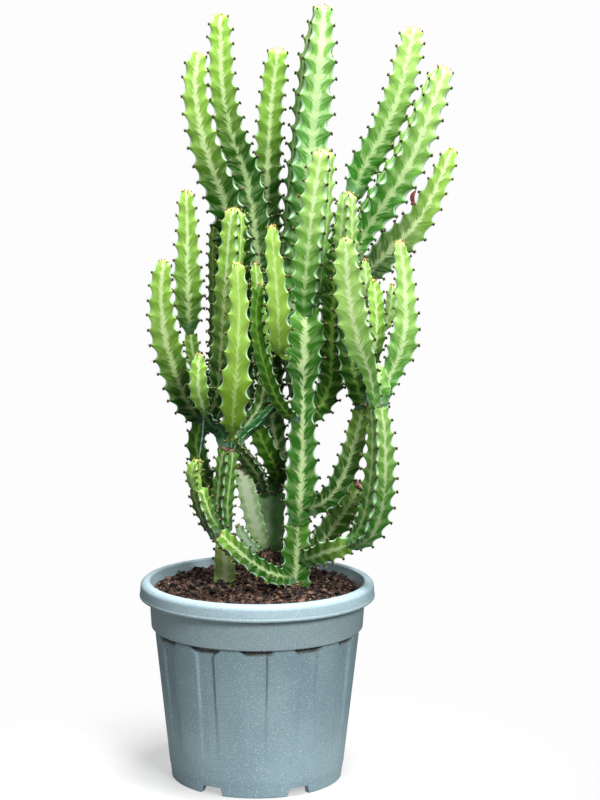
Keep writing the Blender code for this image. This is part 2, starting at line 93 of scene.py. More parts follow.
# %% A finish is a material that is built up with expressions
class Finish:
    def __init__(self, name, **values):
        self.material = bpy.data.materials.new(name)
        self.material.use_nodes = True
        self.tree = self.material.node_tree
        self.shader = self.tree.nodes["Principled BSDF"]
        self.set(**values)

    def plug(self, node, name, value):
        socket = node.inputs[name]
        if isinstance(value, Wire):
            self.tree.links.new(value.socket, socket)
        elif isinstance(value, tuple) and socket.type == "RGBA":
            socket.default_value = (*value, 1.0)
        else:
            socket.default_value = value

    def add(self, kind, settings=None, inputs=None):
        node = self.tree.nodes.new(kind)
        for name, value in (settings or {}).items():
            setattr(node, name, value)
        for name, value in (inputs or {}).items():
            self.plug(node, name, value)
        return node

    def wire(self, node, output=0):
        return Wire(self, node.outputs[output])

    def math(self, operation, *values):
        node = self.add("ShaderNodeMath", {"operation": operation}, dict(enumerate(values)))
        return self.wire(node)

    def mix(self, factor, first, second):
        """first where factor is 0 and second where it is 1."""
        node = self.add("ShaderNodeMix", {"data_type": "RGBA", "clamp_factor": True},
                        {"Factor": factor, 6: first, 7: second})
        return self.wire(node, 2)

    def place(self, shift=0.0):
        here = self.wire(self.add("ShaderNodeTexCoord"), "Object")
        if not shift:
            return here
        return self.wire(self.add("ShaderNodeVectorMath", {"operation": "ADD"},
                                  {0: here, 1: (shift, shift, shift)}))

    def noise(self, scale, at=None, detail=2.0, roughness=0.5):
        node = self.add("ShaderNodeTexNoise", None, {
            "Scale": scale, "Detail": detail, "Roughness": roughness, "Vector": at or self.place()})
        return self.wire(node, "Fac")

    def cells(self, scale, at=None):
        """Distance to the nearest of many scattered points, and a random number for each."""
        node = self.add("ShaderNodeTexVoronoi", None,
                        {"Scale": scale, "Vector": at or self.place()})
        return self.wire(node, "Distance"), self.split(self.wire(node, "Color"))[0]

    def split(self, vector):
        node = self.add("ShaderNodeSeparateXYZ", None, {"Vector": vector})
        return [self.wire(node, i) for i in range(3)]

    def join(self, x, y, z):
        return self.wire(self.add("ShaderNodeCombineXYZ", None, {"X": x, "Y": y, "Z": z}))

    def bump(self, height, distance, strength):
        return self.wire(self.add("ShaderNodeBump", None, {
            "Height": height, "Distance": distance, "Strength": strength}))

    def set(self, **values):
        for name, value in values.items():
            self.plug(self.shader, name.replace("_", " ").title().replace("Ior", "IOR"), value)
        return self.material


def paint(red, green, blue):
    """An sRGB colour from 0 to 255, as the linear numbers a shader works in."""
    return tuple((c / 255 / 12.92) if c < 10 else ((c / 255 + 0.055) / 1.055) ** 2.4
                 for c in (red, green, blue))


def two_tone(name, roughness, scale, low, high, first, second, depth=0.0):
    """A material that noise takes from one colour to the other, and roughens if it has a depth."""
    finish = Finish(name, roughness=roughness)
    pattern = finish.noise(scale)
    finish.set(base_color=finish.mix(pattern.between(low, high), paint(*first), paint(*second)))
    if depth:
        finish.set(normal=finish.bump(pattern, depth, 0.8))
    return finish.material


# %% Turn a bmesh into a finished mesh
def to_mesh(bm, name, smooth=True):
    mesh = bpy.data.meshes.new(name)
    bm.to_mesh(mesh)
    bm.free()
    if smooth:
        mesh.shade_smooth()
    return mesh


# %% [markdown]
# ## The growths
# Each stem is a growth with its own centreline, in centimetres from foot to tip, and radii in
# millimetres. Three radii are the foot's, the body's and the tip's, and more are spread evenly
# from foot to tip. Of the 44 packed growths, 31 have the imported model's own numbers and 13
# differ. Three short forks are only here. Swell is how far the foot takes to widen, in
# centimetres. The skin's name picks its colours, and age makes it look older or younger. Stagger
# is how many rings one rib's teeth stand above the next one's, pitch sets how far apart they are,
# and depth how deeply the notches cut in.

# %% One line for each growth
@dataclass
class Growth:
    name: str
    ribs: int
    turn: float
    radii: tuple
    path: list
    skin: str = "green"
    swell: float = 4.5
    cut: bool = False
    stagger: int = 3
    depth: float = 0.28
    pitch: float = 1.0
    age: float = 0.0


# these carry others or end in a cut, so they have no fresh tip
JOINTED = (
    "trunk_front trunk_rear trunk_left column_middle arm_rear_left arm_front_left arm_right_rear "
    "arm_right arm_right_upper arm_low_right riser_low_right stub_right_cut arm_left "
    "arm_left_front arm_low_left arm_low_left_end shoot_low_centre stub_pale_cut "
    "fork_left fork_right fork_low_right").split()
PLANT_PLACE = np.array([0.0, -0.026, 0.0025])   # where the paths are measured from
PLANT_DEPTH = 1.4                               # and how much they are stretched front to back
GROWTHS = [
    Growth("trunk_front", 3, 60, (18, 21, 15), [(4.3, 2.6, 19.8), (4.4, 2.5, 22), (4.5, 2.2, 26),
        (4.7, 1.6, 30.4)], "column", age=0.03),
    Growth("trunk_rear", 3, 55, (17, 20, 19), [(1.1, 6, 19.8), (1.25, 5.9, 23), (1.4, 5.7, 28),
        (1.6, 5.5, 32.3)], "waxy", cut=True, depth=0.08),
    Growth("trunk_left", 3, 50, (14, 15, 12), [(-3.6, 2.6, 19.8), (-3.6, 2.4, 23), (-3.6, 2, 26),
        (-3.7, 1.5, 28.6)], "corky", depth=0.16),
    Growth("column_middle", 3, 60, (12, 23, 21.5, 19, 17.5, 15.5, 24, 27, 15), [(4.7, 1.6, 29),
        (5, 1.4, 36), (5.1, 1.2, 44), (5.2, 1, 50), (5.4, 1, 54.5)], "column", age=0.05),
    Growth("column_top", 4, 26, (11, 23, 15), [(5.35, 1, 53), (5.75, 0.9, 58), (6.4, 0.6, 65),
        (7.2, 0.2, 71.8)], "young", stagger=0),
    Growth("shoot_tall_rear", 4, 55, (10, 20, 27, 29, 29, 28, 25, 15), [(5.1, 1.4, 42.5),
        (4.6, 4.4, 45.5), (4.1, 6.4, 54), (5.2, 6.4, 66), (6.1, 6, 76), (7.2, 5, 87.8)], "marbled",
        stagger=0),
    Growth("shoot_rear_centre", 3, 60, (10, 22, 15), [(2, 5.8, 31.4), (2.4, 7.6, 35),
        (1.6, 9.2, 41), (1, 10.2, 54), (1, 9.8, 67), (1.4, 9, 76), (2.2, 8.2, 83.1)], swell=20,
        stagger=0),
    Growth("shoot_top_left_inner", 3, 65, (8, 22, 14), [(1.5, 9.2, 43.4), (0.4, 7.4, 45.8),
        (0.1, 6.8, 56), (-1.2, 6.2, 67), (-3.1, 5.2, 73), (-4.2, 4.2, 79), (-4.4, 3.6, 86.7)],
        swell=20),
    Growth("arm_rear_left", 3, 50, (9, 15, 12), [(1.5, 5.2, 31.8), (2.4, 4.4, 34.4), (1.3, 3.9, 37),
        (0.1, 3.9, 39.6), (-0.7, 4.2, 41.8)], "dark"),
    Growth("shoot_top_left_outer", 3, 60, (8, 24, 13), [(-0.6, 4.2, 41.2), (-1.7, 4.4, 48),
        (-2.2, 3.6, 58), (-3.4, 2.5, 64.5), (-4.9, 1.6, 68.8), (-6.2, 1, 73), (-7, 0.6, 78),
        (-6.7, 0.5, 82.4)], swell=24),
    Growth("arm_front_left", 3, 30, (7, 11, 9), [(0.9, 5, 31.8), (0.1, 2.7, 34.8),
        (-1.1, 1.8, 36.7), (-2.3, 0.6, 38.4), (-2.9, -0.6, 40)], depth=0.2, age=0.06),
    Growth("shoot_front_olive", 3, 60, (3, 17, 22, 17, 14.5, 13, 11), [(-2.9, -0.5, 39.6),
        (-2.7, -2.2, 43), (-2.3, -3, 48.5), (-2.1, -3.2, 54), (-2.3, -3.4, 59.6)], "olive",
        pitch=1.22, depth=0.34),
    Growth("shoot_slim_rear", 3, 70, (6, 11, 8), [(-2.4, 0.3, 38.6), (-1.2, 1, 41),
        (0.2, 1.4, 43.2), (0.7, 1.7, 47), (0.2, 1.6, 52.5), (-0.4, 1.4, 59)]),
    Growth("shoot_slim_front", 3, 45, (6, 10.5, 8), [(4.7, 1.1, 41), (3, 0.2, 42.8),
        (1.6, -0.6, 45.5), (0.3, -1, 50), (-0.1, -1, 53.5), (0.3, -1, 57)], "dark"),
    Growth("shoot_front_centre", 3, 60, (3, 4, 14, 16.5, 15, 13, 11, 9), [(4.2, 0.8, 48.3),
        (2.6, -0.7, 49), (2.3, -2.1, 51.5), (2.1, -2.6, 55.5), (1.4, -3, 63.6)], "olive",
        pitch=1.28, depth=0.34),
    Growth("arm_right_rear", 3, 70, (9, 19, 14), [(5.3, 1.8, 41.2), (6.9, 3.5, 42.5),
        (8.1, 4.6, 45), (8.3, 5.3, 48), (8.4, 5.8, 52), (8.8, 6.1, 58), (10.3, 6.3, 66.6)], "dark"),
    Growth("shoot_right_inner", 3, 60, (10, 21, 15), [(10.9, 6.3, 66), (11.9, 6.3, 69.3),
        (14, 6, 73), (15.6, 5.6, 77), (16.6, 5.2, 81), (17.5, 5, 85.4)], "young"),
    Growth("arm_right", 3, 60, (10, 16, 12), [(5, 1.5, 31), (6.9, 1.2, 31.6), (8.7, 1, 33.2),
        (10.1, 1, 36), (11.1, 1, 39.5), (11.9, 1, 43.2)]),
    Growth("arm_right_upper", 3, 70, (10, 18, 12), [(11.9, 1, 42.6), (10.7, 1.3, 46.5),
        (10.1, 2, 51), (10.6, 2.6, 56), (10.9, 3, 60)], "dark"),
    Growth("shoot_right_middle", 4, 51, (9, 26, 15), [(10.8, 2.9, 59), (11.9, 2.9, 62.5),
        (14.1, 2.8, 66), (17, 2.5, 71), (18.9, 2.2, 76), (20.7, 2, 81)], "young", swell=9),
    Growth("shoot_right_outer", 3, 60, (9, 21, 22.5, 18, 14, 11), [(11, 2.9, 55.8),
        (12.8, 3.8, 58.1), (14.8, 4.2, 60.2), (18, 4.6, 63.4), (20.3, 4.8, 67.6), (22, 5, 71.8)]),
    Growth("shoot_right_back", 4, 0, (8, 15, 11), [(10.6, 2.4, 56), (9.8, 0.6, 60), (9.8, 0, 63.5),
        (9.9, -0.3, 67.1)], "young"),
    Growth("shoot_right_marbled", 3, 60, (6, 12, 9), [(11, 1.4, 47.2), (12.6, 0.4, 48.6),
        (13.2, 0.2, 51), (13.2, 0.3, 54), (12.9, 0.4, 57.3)], swell=3, age=0.05),
    Growth("shoot_right_small", 3, 60, (5, 9, 7), [(10.5, 2.1, 52), (11.7, 1.7, 54.4),
        (12.1, 1.4, 56.7), (11.9, 1.2, 59.5)], "young"),
    Growth("shoot_right_tiny", 3, 60, (5, 9, 7), [(10.8, 2, 49.6), (13.2, 2.4, 51),
        (14.7, 2.4, 52.8), (15.2, 2.2, 56.6)], "young"),
    Growth("arm_low_right", 3, 60, (9, 16, 13), [(4.7, 2.2, 24.6), (7, 1.4, 25.8), (8.9, 0.6, 26.7),
        (10.8, 0, 27.5)], age=0.05),
    Growth("riser_low_right", 4, -13, (9, 20, 12), [(10.5, 0.1, 27.2), (12.2, -0.8, 28.9),
        (13.2, -1.5, 32), (13.6, -2, 36.5), (13.5, -2.3, 41), (13.1, -2.5, 44)], "young",
        age=-0.04),
    Growth("shoot_right_front_left", 3, 44, (9, 11, 20, 21, 18.5, 13), [(13.2, -2.6, 43.4),
        (12.4, -2.8, 47.5), (11.1, -3, 51.5), (10.1, -3.2, 56.5), (9.6, -3.5, 62.4)], "young",
        age=-0.04),
    Growth("shoot_right_front_right", 3, 60, (9, 14, 19, 15, 12, 9), [(13.5, -2.2, 43.3),
        (14.3, -1.9, 46.2), (15.7, -1.6, 49.5), (16.3, -1.5, 53), (16.1, -1.5, 58),
        (15.5, -1.5, 61.9)], "young"),
    Growth("shoot_low_right_thin", 3, 60, (5, 10, 8), [(10.4, 0.2, 26.6), (11.5, 2, 28.6),
        (12.6, 2.8, 31), (13, 3, 33)], "dark"),
    Growth("stub_right_cut", 3, 60, (11, 20, 18), [(4.6, 2.4, 24.6), (7.1, 5, 25.8), (9.2, 6, 28.2),
        (11.1, 6, 31), (12.1, 6, 32.5)], cut=True),
    Growth("arm_left", 3, 40, (8, 15, 12), [(-4, 2.1, 27.2), (-5.2, 3, 31.9), (-6.3, 3.2, 35.6),
        (-6.8, 3, 38.5), (-6, 2.6, 41.4)], "dark"),
    Growth("shoot_left_outer", 3, 60, (8, 20, 11), [(-6.3, 2.8, 40.8), (-7.8, 2, 42.8),
        (-9.2, 1.2, 46.5), (-10.4, 0.5, 51), (-10.8, 0, 55.5), (-10.5, -0.3, 59.5)]),
    Growth("arm_left_front", 3, 60, (6, 12, 9), [(-6, 2.6, 41), (-6.3, 2.5, 45), (-7.2, 2, 48.2),
        (-7.7, 1.6, 51.2)]),
    Growth("shoot_left_tall", 3, 60, (5, 17, 20.5, 18.5, 16, 14, 12, 10.5), [(-7.7, 1.6, 50.8),
        (-7.8, 1.3, 54), (-7.9, 1, 58.5), (-7.9, 0.7, 63), (-8, 0.5, 67.2)]),
    Growth("shoot_left_short", 3, 60, (2, 2, 3, 11, 13.5, 12, 9), [(-5.9, 2.4, 40.4),
        (-5.9, 0.2, 42), (-6.6, -1.4, 45.5), (-6.5, -1.6, 49.3)], age=0.04),
    Growth("shoot_left_rear", 4, 0, (6, 12, 10), [(-5.9, 2.9, 40.8), (-4.8, 4.6, 44.2),
        (-4.6, 5, 51), (-4.7, 4.6, 58), (-4.7, 4.2, 63.3)]),
    Growth("shoot_left_inner", 4, 20, (7, 19, 14), [(-5.8, 2.4, 40.6), (-4.2, 1.2, 44),
        (-3.6, 0.9, 50.5), (-3.2, 0.4, 57), (-2.6, 0, 65.3)], age=-0.04),
    Growth("shoot_low_centre", 4, 0, (8, 14, 13), [(-3.7, 1.6, 28.2), (-4, 0.7, 31.4),
        (-3.7, 0.2, 35), (-3.3, 0, 38.3)], "column", age=-0.02),
    Growth("arm_low_left", 3, -15, (9, 15, 13), [(4.2, 2.4, 22.3), (1.5, 0.4, 23.4),
        (-0.8, -0.8, 25.1), (-2.9, -1.8, 27.2), (-4.7, -2.4, 29.2)], age=0.05),
    Growth("arm_low_left_end", 3, 0, (9, 14, 12), [(-4.6, -2.4, 29), (-5.8, -2.8, 31.5),
        (-6.8, -3, 34.6)], age=0.06),
    Growth("shoot_low_left", 3, 15, (6, 11, 11), [(-6.7, -3, 34.2), (-7, -3, 36),
        (-6.7, -3, 37.7)]),
    Growth("stub_pale_cut", 3, 70, (8, 14, 13), [(0.9, 5.4, 25.2), (-0.3, 4.2, 28.3),
        (-1.2, 3.4, 32), (-2, 3, 35.6)], "pale", cut=True),
    Growth("stub_small_dark", 3, 60, (5, 8, 8), [(0.9, 5.6, 24.2), (-0.5, 4.4, 25.6), (-1.6, 4, 27),
        (-2.3, 3.8, 28.4)], "waxy"),
    Growth("fork_left", 3, 30, (9, 12, 10), [(-3.3, 0.2, 37.8), (-3.9, 0.6, 40.2), (-5, 1.3, 40.9),
        (-6.4, 2, 42.2)], "joint", depth=0.1),
    Growth("fork_low_right", 3, 60, (9, 13, 15, 11, 5), [(13.2, -2.4, 43), (13.3, -2.2, 45.4),
        (13.4, -2, 48.2)], "young", depth=0.06, age=0.08),
    Growth("fork_right", 3, 10, (8, 11, 8), [(-3.2, 0.2, 37.8), (-2, 0.6, 39.5), (0.2, 1.1, 41.4),
        (2.5, 1.8, 44)], "joint", depth=0.1),
]
FORKS = ("fork_left", "fork_right", "fork_low_right")
print(len(GROWTHS), "growths")

# %% [markdown]
# ## Centrelines
# The points of a path are joined by a smooth curve that passes through each of them. Every ring of
# a stem needs the place, the direction and a fixed idea of "front" there, so all are tabled once
# along the curve, a millimetre apart, and read off wherever they are needed.

# %% A smooth curve with its directions
def smooth_path(points):
    ends = [2 * points[0] - points[1]], [2 * points[-1] - points[-2]]
    knots = np.concatenate([ends[0], points, ends[1]])
    dense = []
    for a, b, c, d in zip(knots, knots[1:], knots[2:], knots[3:]):
        count = max(2, round(np.linalg.norm(c - b) / MM))
        t = np.arange(count)[:, None] / count
        dense.append(0.5 * (2 * b + (c - a) * t + (2 * a - 5 * b + 4 * c - d) * t ** 2
                            + (3 * b - a - 3 * c + d) * t ** 3))
    dense.append(points[-1:])
    return np.concatenate(dense)


class Centreline:
    def __init__(self, growth):
        points = np.array(growth.path) * [CM, CM * PLANT_DEPTH, CM] + PLANT_PLACE
        place = smooth_path(points)
        steps = np.linalg.norm(np.diff(place, axis=0), axis=1)
        self.distance = np.concatenate([[0.0], np.cumsum(steps)])
        self.length = self.distance[-1]
        last = len(place) - 1
        along = np.array([place[min(i + 3, last)] - place[max(i - 3, 0)] for i in range(last + 1)])
        along /= np.linalg.norm(along, axis=1)[:, None]
        front = np.array([0.0, -1.0, 0.0]) + along[:, 1:2] * along
        front /= np.linalg.norm(front, axis=1)[:, None]
        self.table = np.concatenate([place, along, front, np.cross(along, front)], axis=1)

    def at(self, distance):
        """Place, direction, front and side at each distance from the foot."""
        columns = [np.interp(distance, self.distance, column) for column in self.table.T]
        return [np.stack(columns[i:i + 3], axis=-1) for i in (0, 3, 6, 9)]


# %% How thick a growth is along its length
DOME = 8 * MM       # how much of a tip is rounded


def girth(share, radii):
    """The radius a share of the way along radii spread evenly from foot to tip."""
    place = np.clip(share, 0.0, 0.9999) * (len(radii) - 1)
    index = place.astype(int)
    ease = 0.5 - 0.5 * np.cos(np.pi * (place - index))
    radii = np.array(radii)
    return radii[index] + (radii[index + 1] - radii[index]) * ease


def crest_radius(distance, length, growth):
    if len(growth.radii) > 3:
        radius = girth(distance / length, growth.radii) * MM
    else:
        foot, body, tip = (radius * MM for radius in growth.radii)
        swell = np.minimum(1.0, distance / min(growth.swell * CM, 0.55 * length))
        rise = foot + (body - foot) * np.sin(0.5 * np.pi * swell)
        fade = np.clip((length - distance) / (0.6 * length), 0.0, 1.0)
        radius = np.minimum(rise, tip + (body - tip) * np.sin(0.5 * np.pi * fade))
    if growth.cut:
        return radius
    dome = np.clip((length - distance) / DOME, 0.0, 1.0)
    return radius * np.sqrt(1.0 - (1.0 - dome) ** 2)


# %% [markdown]
# ## Toothed ribs
# A rib's edge is a row of teeth. Just above each tooth the edge is cut in to a shelf, and from
# there it climbs slowly out to the next tooth. Every tooth gets ten rings, crowded near its
# point, so the point stays sharp without a dense mesh everywhere. The rings are warped for each
# rib, because its teeth stand at their own heights, and the warp fades away towards the middle of
# the faces.
# The body starts as a flat grid that is rolled up into a tube: one operator makes all the faces.

# %% The outline of a tooth
RINGS = 10
DOWN = np.array([0.0, 0.04, 0.12, 0.24, 0.38, 0.52, 0.65, 0.77, 0.88, 0.96])
CUT_IN = np.sin(np.pi * (1.0 - DOWN) ** 0.76) ** 0.8
ACROSS = np.array([0.0, 0.06, 0.20, 0.40, 0.60, 0.80, 1.0])
COLUMNS = 12
MIDDLE = 6          # the column in the middle of a face
EDGE_HALF = 0.40 * MM   # half the width of a rib's edge, on a stem of the usual radius
SHARPNESS = 1.6     # how fast the teeth's warp fades towards the middle of a face
USUAL_RADIUS = 0.022    # a stem of this radius has teeth of size 1
print("a tooth has", RINGS, "rings, and a rib", COLUMNS, "columns")


def tooth_spacing(from_foot, from_tip, growth):
    usual = growth.pitch * (0.45 * max(growth.radii) + 7.4) * MM
    near_tip = 0.74 + 0.26 * np.clip(from_tip / 0.045, 0, 1)
    near_foot = 0.6 + 0.4 * np.clip(from_foot / 0.05, 0, 1)
    return usual * near_tip * near_foot


# %% The shape of one half of a rib
def half_rib(full, crest, hollow, ribs, size):
    """Points from the crest to the middle of the face, along the rib's direction and across it.
    The face keeps one shape all the way down; a notch only cuts the blade back from its edge."""
    half_angle = math.pi / ribs
    edge = EDGE_HALF * (0.45 + 0.55 * size)
    start = np.stack([full, edge], axis=-1)
    end = np.stack([hollow * math.cos(half_angle), hollow * math.sin(half_angle)], axis=-1)
    reach = np.linalg.norm(start - end, axis=-1)[:, None]
    leave = start + reach * np.array([-0.34, 0.055])
    arrive = end + 0.42 * reach * np.array([math.sin(half_angle), -math.cos(half_angle)])
    cut_back = np.clip((full - crest) / np.maximum(full - end[:, 0], 1e-6), 0.0, 0.8)
    points = [np.stack([crest, 0 * crest], axis=-1)]
    for share in (0.0, 0.2, 0.42, 0.63, 0.82, 1.0):
        t = (cut_back + (1 - cut_back) * share)[:, None]
        point = ((1 - t) ** 3 * start + 3 * t * (1 - t) ** 2 * leave
                 + 3 * t * t * (1 - t) * arrive + t ** 3 * end)
        thinner = min(1.0, 1.6 * cut_back.max()) * 0.30 * max(0.0, 1 - share / 0.3)
        point[:, 1] *= 1 - thinner * (cut_back > 0)
        if share == 0.0:
            point[:, 0] = np.minimum(point[:, 0], crest - 0.5 * point[:, 1])
        points.append(point)
    return np.stack(points, axis=1)


# %% A whole growth
def grow(growth, number):
    """A grid's vertices, row by row from the tip, what the skin reads there, and the teeth."""
    rand = np.random.default_rng(100 + number)
    line = Centreline(growth)
    fine = np.linspace(line.length, 0.0, 1500)
    spacing = tooth_spacing(fine, line.length - fine, growth)
    count = np.concatenate([[0.0], np.cumsum((fine[0] - fine[1]) / spacing[1:])])
    rows = int(count[-1] * RINGS) + 1
    row = np.arange(rows)
    level = row / RINGS
    from_foot = np.interp(level, count, fine)
    from_tip = line.length - from_foot
    radius = crest_radius(from_foot, line.length, growth)
    if growth.name not in JOINTED:
        radius *= 0.66 + 0.34 * np.sin(0.5 * np.pi * np.clip(from_tip / 0.016, 0, 1))
    size = radius / USUAL_RADIUS
    closing = np.ones(rows)
    closing[-1] = 0.0
    calm = np.clip(row / 6.0, 0.0, 1.0) * np.clip((rows - 1 - row) / 6.0, 0.0, 1.0)
    if growth.cut:
        closing[:3] = 0.0, 0.6, 0.94
        calm *= np.clip((row - 2) / 5.0, 0.0, 1.0)
    share = 0.47 if growth.ribs == 3 else 0.62
    foot_share = np.clip(1.0 - from_foot / 0.02, 0.0, 1.0)
    hollow = radius * (share + (0.85 - share) * foot_share)
    hollow *= 1.0 + 0.04 * np.sin(0.9 * level + number)
    toothed = np.clip((from_foot - 0.003) / 0.018, 0.0, 1.0)
    weight = (1.0 - ACROSS) ** SHARPNESS
    halves, teeth, rungs = {}, [], np.zeros((rows, growth.ribs, 2))
    first = int(rand.integers(3, 6))
    for rib in range(growth.ribs):
        offset = first + rib * growth.stagger
        tooth, within = np.divmod(row - offset, RINGS)
        crest_level = offset / RINGS + tooth + DOWN[within]
        cut_in = CUT_IN[within]
        long = rand.uniform(0.92, 1.08, 99)
        deep = rand.uniform(0.82, 1.18, 99)
        shift = rand.uniform(-0.06, 0.06, 99)
        reach = long[tooth + 9] * (1 - within / RINGS) + long[tooth + 10] * within / RINGS
        full = np.maximum(radius * (1.0 + 0.10 * reach * toothed), hollow * 1.06)
        notch = radius * growth.depth * deep[tooth + 9] * cut_in * toothed
        crest = np.maximum(full - notch, hollow * 1.04)
        points = half_rib(full, crest, hollow, growth.ribs, np.minimum(size, 1.2))
        points = points * closing[:, None, None]
        stand = 2.6 * MM * np.exp(-from_tip / 0.010) + 1.0 * MM * size
        if growth.cut:
            stand = 0.5 * MM * size
        moved = (crest_level + shift[tooth + 9] * (1 - 0.5 * cut_in) - level) * calm
        distance = np.interp(level[:, None] + moved[:, None] * weight, count, fine)
        distance = distance + (stand * (1 - cut_in) ** 2 * calm)[:, None] * weight ** 1.5
        wave = 0.07 * radius * np.sin(np.pi * crest_level + rand.uniform(0, 6.28))
        angle = math.radians(growth.turn) + rib * math.tau / growth.ribs
        place, along, front, side = line.at(np.minimum(distance, line.length))
        place = place + along * np.maximum(distance - line.length, 0.0)[..., None]
        out = math.cos(angle) * front + math.sin(angle) * side
        over = math.cos(angle) * side - math.sin(angle) * front
        for sign in (1, -1):
            across = sign * points[..., 1] + wave[:, None] * weight ** 1.4
            halves[rib, sign] = place + points[..., 0:1] * out + across[..., None] * over
        has_teeth = (row > 0) & (from_foot > 0.008) & (calm > 0.3) & (growth.depth > 0.12)
        for index in np.flatnonzero((within == 0) & has_teeth):
            teeth.append((halves[rib, 1][index, 0], out[index, 0], along[index, 0], over[index, 0],
                          float(size[index]), float(from_tip[index]), growth.skin))
        rungs[:, rib, 0] = level - offset / RINGS + (crest_level - level) * calm
        rungs[:, rib, 1] = level - offset / RINGS
    places = []
    for rib in range(growth.ribs):
        here, after = halves[rib, 1], halves[(rib + 1) % growth.ribs, -1]
        middle = 0.5 * (here[:, MIDDLE:] + after[:, MIDDLE:])
        places += [here[:, :MIDDLE], middle, after[:, MIDDLE - 1:0:-1]]
    apex = (line.at(np.array([line.length])), growth, radius[min(2, rows - 1)])
    return np.concatenate(places, axis=1), rungs, from_tip, from_foot, teeth, apex


# %% Roll a grid up into the growth's skin
OLD = 0.08          # how far from its tip a growth's age counts in full
JOINT_AGE = 0.08    # how much older the skin of a growth with no fresh tip looks
MERGE = 0.00002


def skin_of(growth, number):
    places, rungs, from_tip, from_foot, teeth, apex = grow(growth, number)
    rows, around = places.shape[:2]
    bm = bmesh.new()
    bmesh.ops.create_grid(bm, x_segments=around, y_segments=rows - 1, size=0.5)
    mesh = bpy.data.meshes.new(growth.name)
    bm.to_mesh(mesh)
    flat = np.empty(len(mesh.vertices) * 3)
    mesh.vertices.foreach_get("co", flat)
    flat = flat.reshape(-1, 3)
    column = np.rint((flat[:, 0] + 0.5) * around).astype(int)
    row = np.rint((flat[:, 1] + 0.5) * (rows - 1)).astype(int)
    mesh.vertices.foreach_set("co", places[row, column % around].ravel())
    corners = np.empty(len(mesh.loops), int)
    mesh.loops.foreach_get("vertex_index", corners)
    corner_column = column[corners].reshape(-1, 4)
    corner_row = row[corners].reshape(-1, 4)
    first = corner_column.min(axis=1)
    beyond = (first % COLUMNS >= MIDDLE)[:, None]
    rib = (first[:, None] // COLUMNS + beyond) % growth.ribs
    local = corner_column - (first // COLUMNS * COLUMNS)[:, None]
    far = np.where(beyond, COLUMNS - local, local)
    sharp = (1.0 - ACROSS[far]) ** SHARPNESS
    rung = rungs[corner_row, rib, 1] * (1 - sharp) + rungs[corner_row, rib, 0] * sharp
    layer = mesh.uv_layers.new(name="ribs")
    across = np.where(beyond, -1, 1) * ACROSS[far]
    layer.data.foreach_set("uv", np.stack([across, rung], axis=-1).ravel())
    facts = mesh.attributes.new("growth", "FLOAT_VECTOR", "POINT")
    tone = np.full(len(row), (number * 0.618) % 1.0)
    from_tip = from_tip + growth.age * np.clip(from_tip / OLD, 0, 1)
    from_tip = from_tip + (JOINT_AGE if growth.name in JOINTED else 0.0)
    known = np.stack([from_tip[row], from_foot[row], tone], axis=-1)
    facts.data.foreach_set("vector", known.astype(np.float32).ravel())
    bm.clear()
    bm.from_mesh(mesh)
    bmesh.ops.remove_doubles(bm, verts=bm.verts, dist=MERGE)
    bmesh.ops.recalc_face_normals(bm, faces=bm.faces)
    bm.to_mesh(mesh)
    bm.free()
    mesh.shade_smooth()
    return mesh, teeth, apex


# %% [markdown]
# ## The skin
# Real skin is waxy and marbled. A pale band runs down the middle of every face, veins run from it
# out to the notches between the teeth, and between them lie green blocks with slanting streaks.
# The pattern follows the ribs, so it reads the map that was laid on them: across the rib, and down
# it in teeth. The tooth points and the newest growth have colours of their own.

# %% Skin colours
# the band in a face's middle, the skin near a tip, old skin, how wide the band is, how strongly
# the veins show, and the material slot
SKINS = {
    "young": ((210, 234, 172), (162, 209, 102), (48, 116, 24), 0.16, 0.2, "stem_young"),
    "marbled": ((202, 228, 168), (122, 178, 76), (74, 138, 52), 0.26, 0.46, "stem_young"),
    "green": ((210, 234, 168), (146, 196, 72), (20, 72, 0), 0.14, 0.13, "stem_green"),
    "column": ((206, 230, 166), (104, 166, 44), (44, 106, 22), 0.14, 0.16, "stem_green"),
    "dark": ((144, 186, 84), (82, 140, 36), (18, 62, 0), 0.12, 0.2, "stem_dark"),
    "olive": ((196, 226, 142), (158, 202, 86), (110, 152, 34), 0.1, 0.05, "stem_olive"),
    "waxy": ((196, 220, 184), (150, 192, 138), (132, 178, 122), 0.22, 0.12, "stem_waxy"),
    "corky": ((206, 222, 176), (156, 182, 104), (140, 166, 84), 0.2, 0.3, "stem_waxy"),
    "joint": ((104, 156, 118), (54, 106, 50), (26, 78, 32), 0.12, 0.1, "stem_waxy"),
    "pale": ((222, 234, 204), (178, 208, 150), (150, 186, 124), 0.44, 0.2, "stem_young"),
}


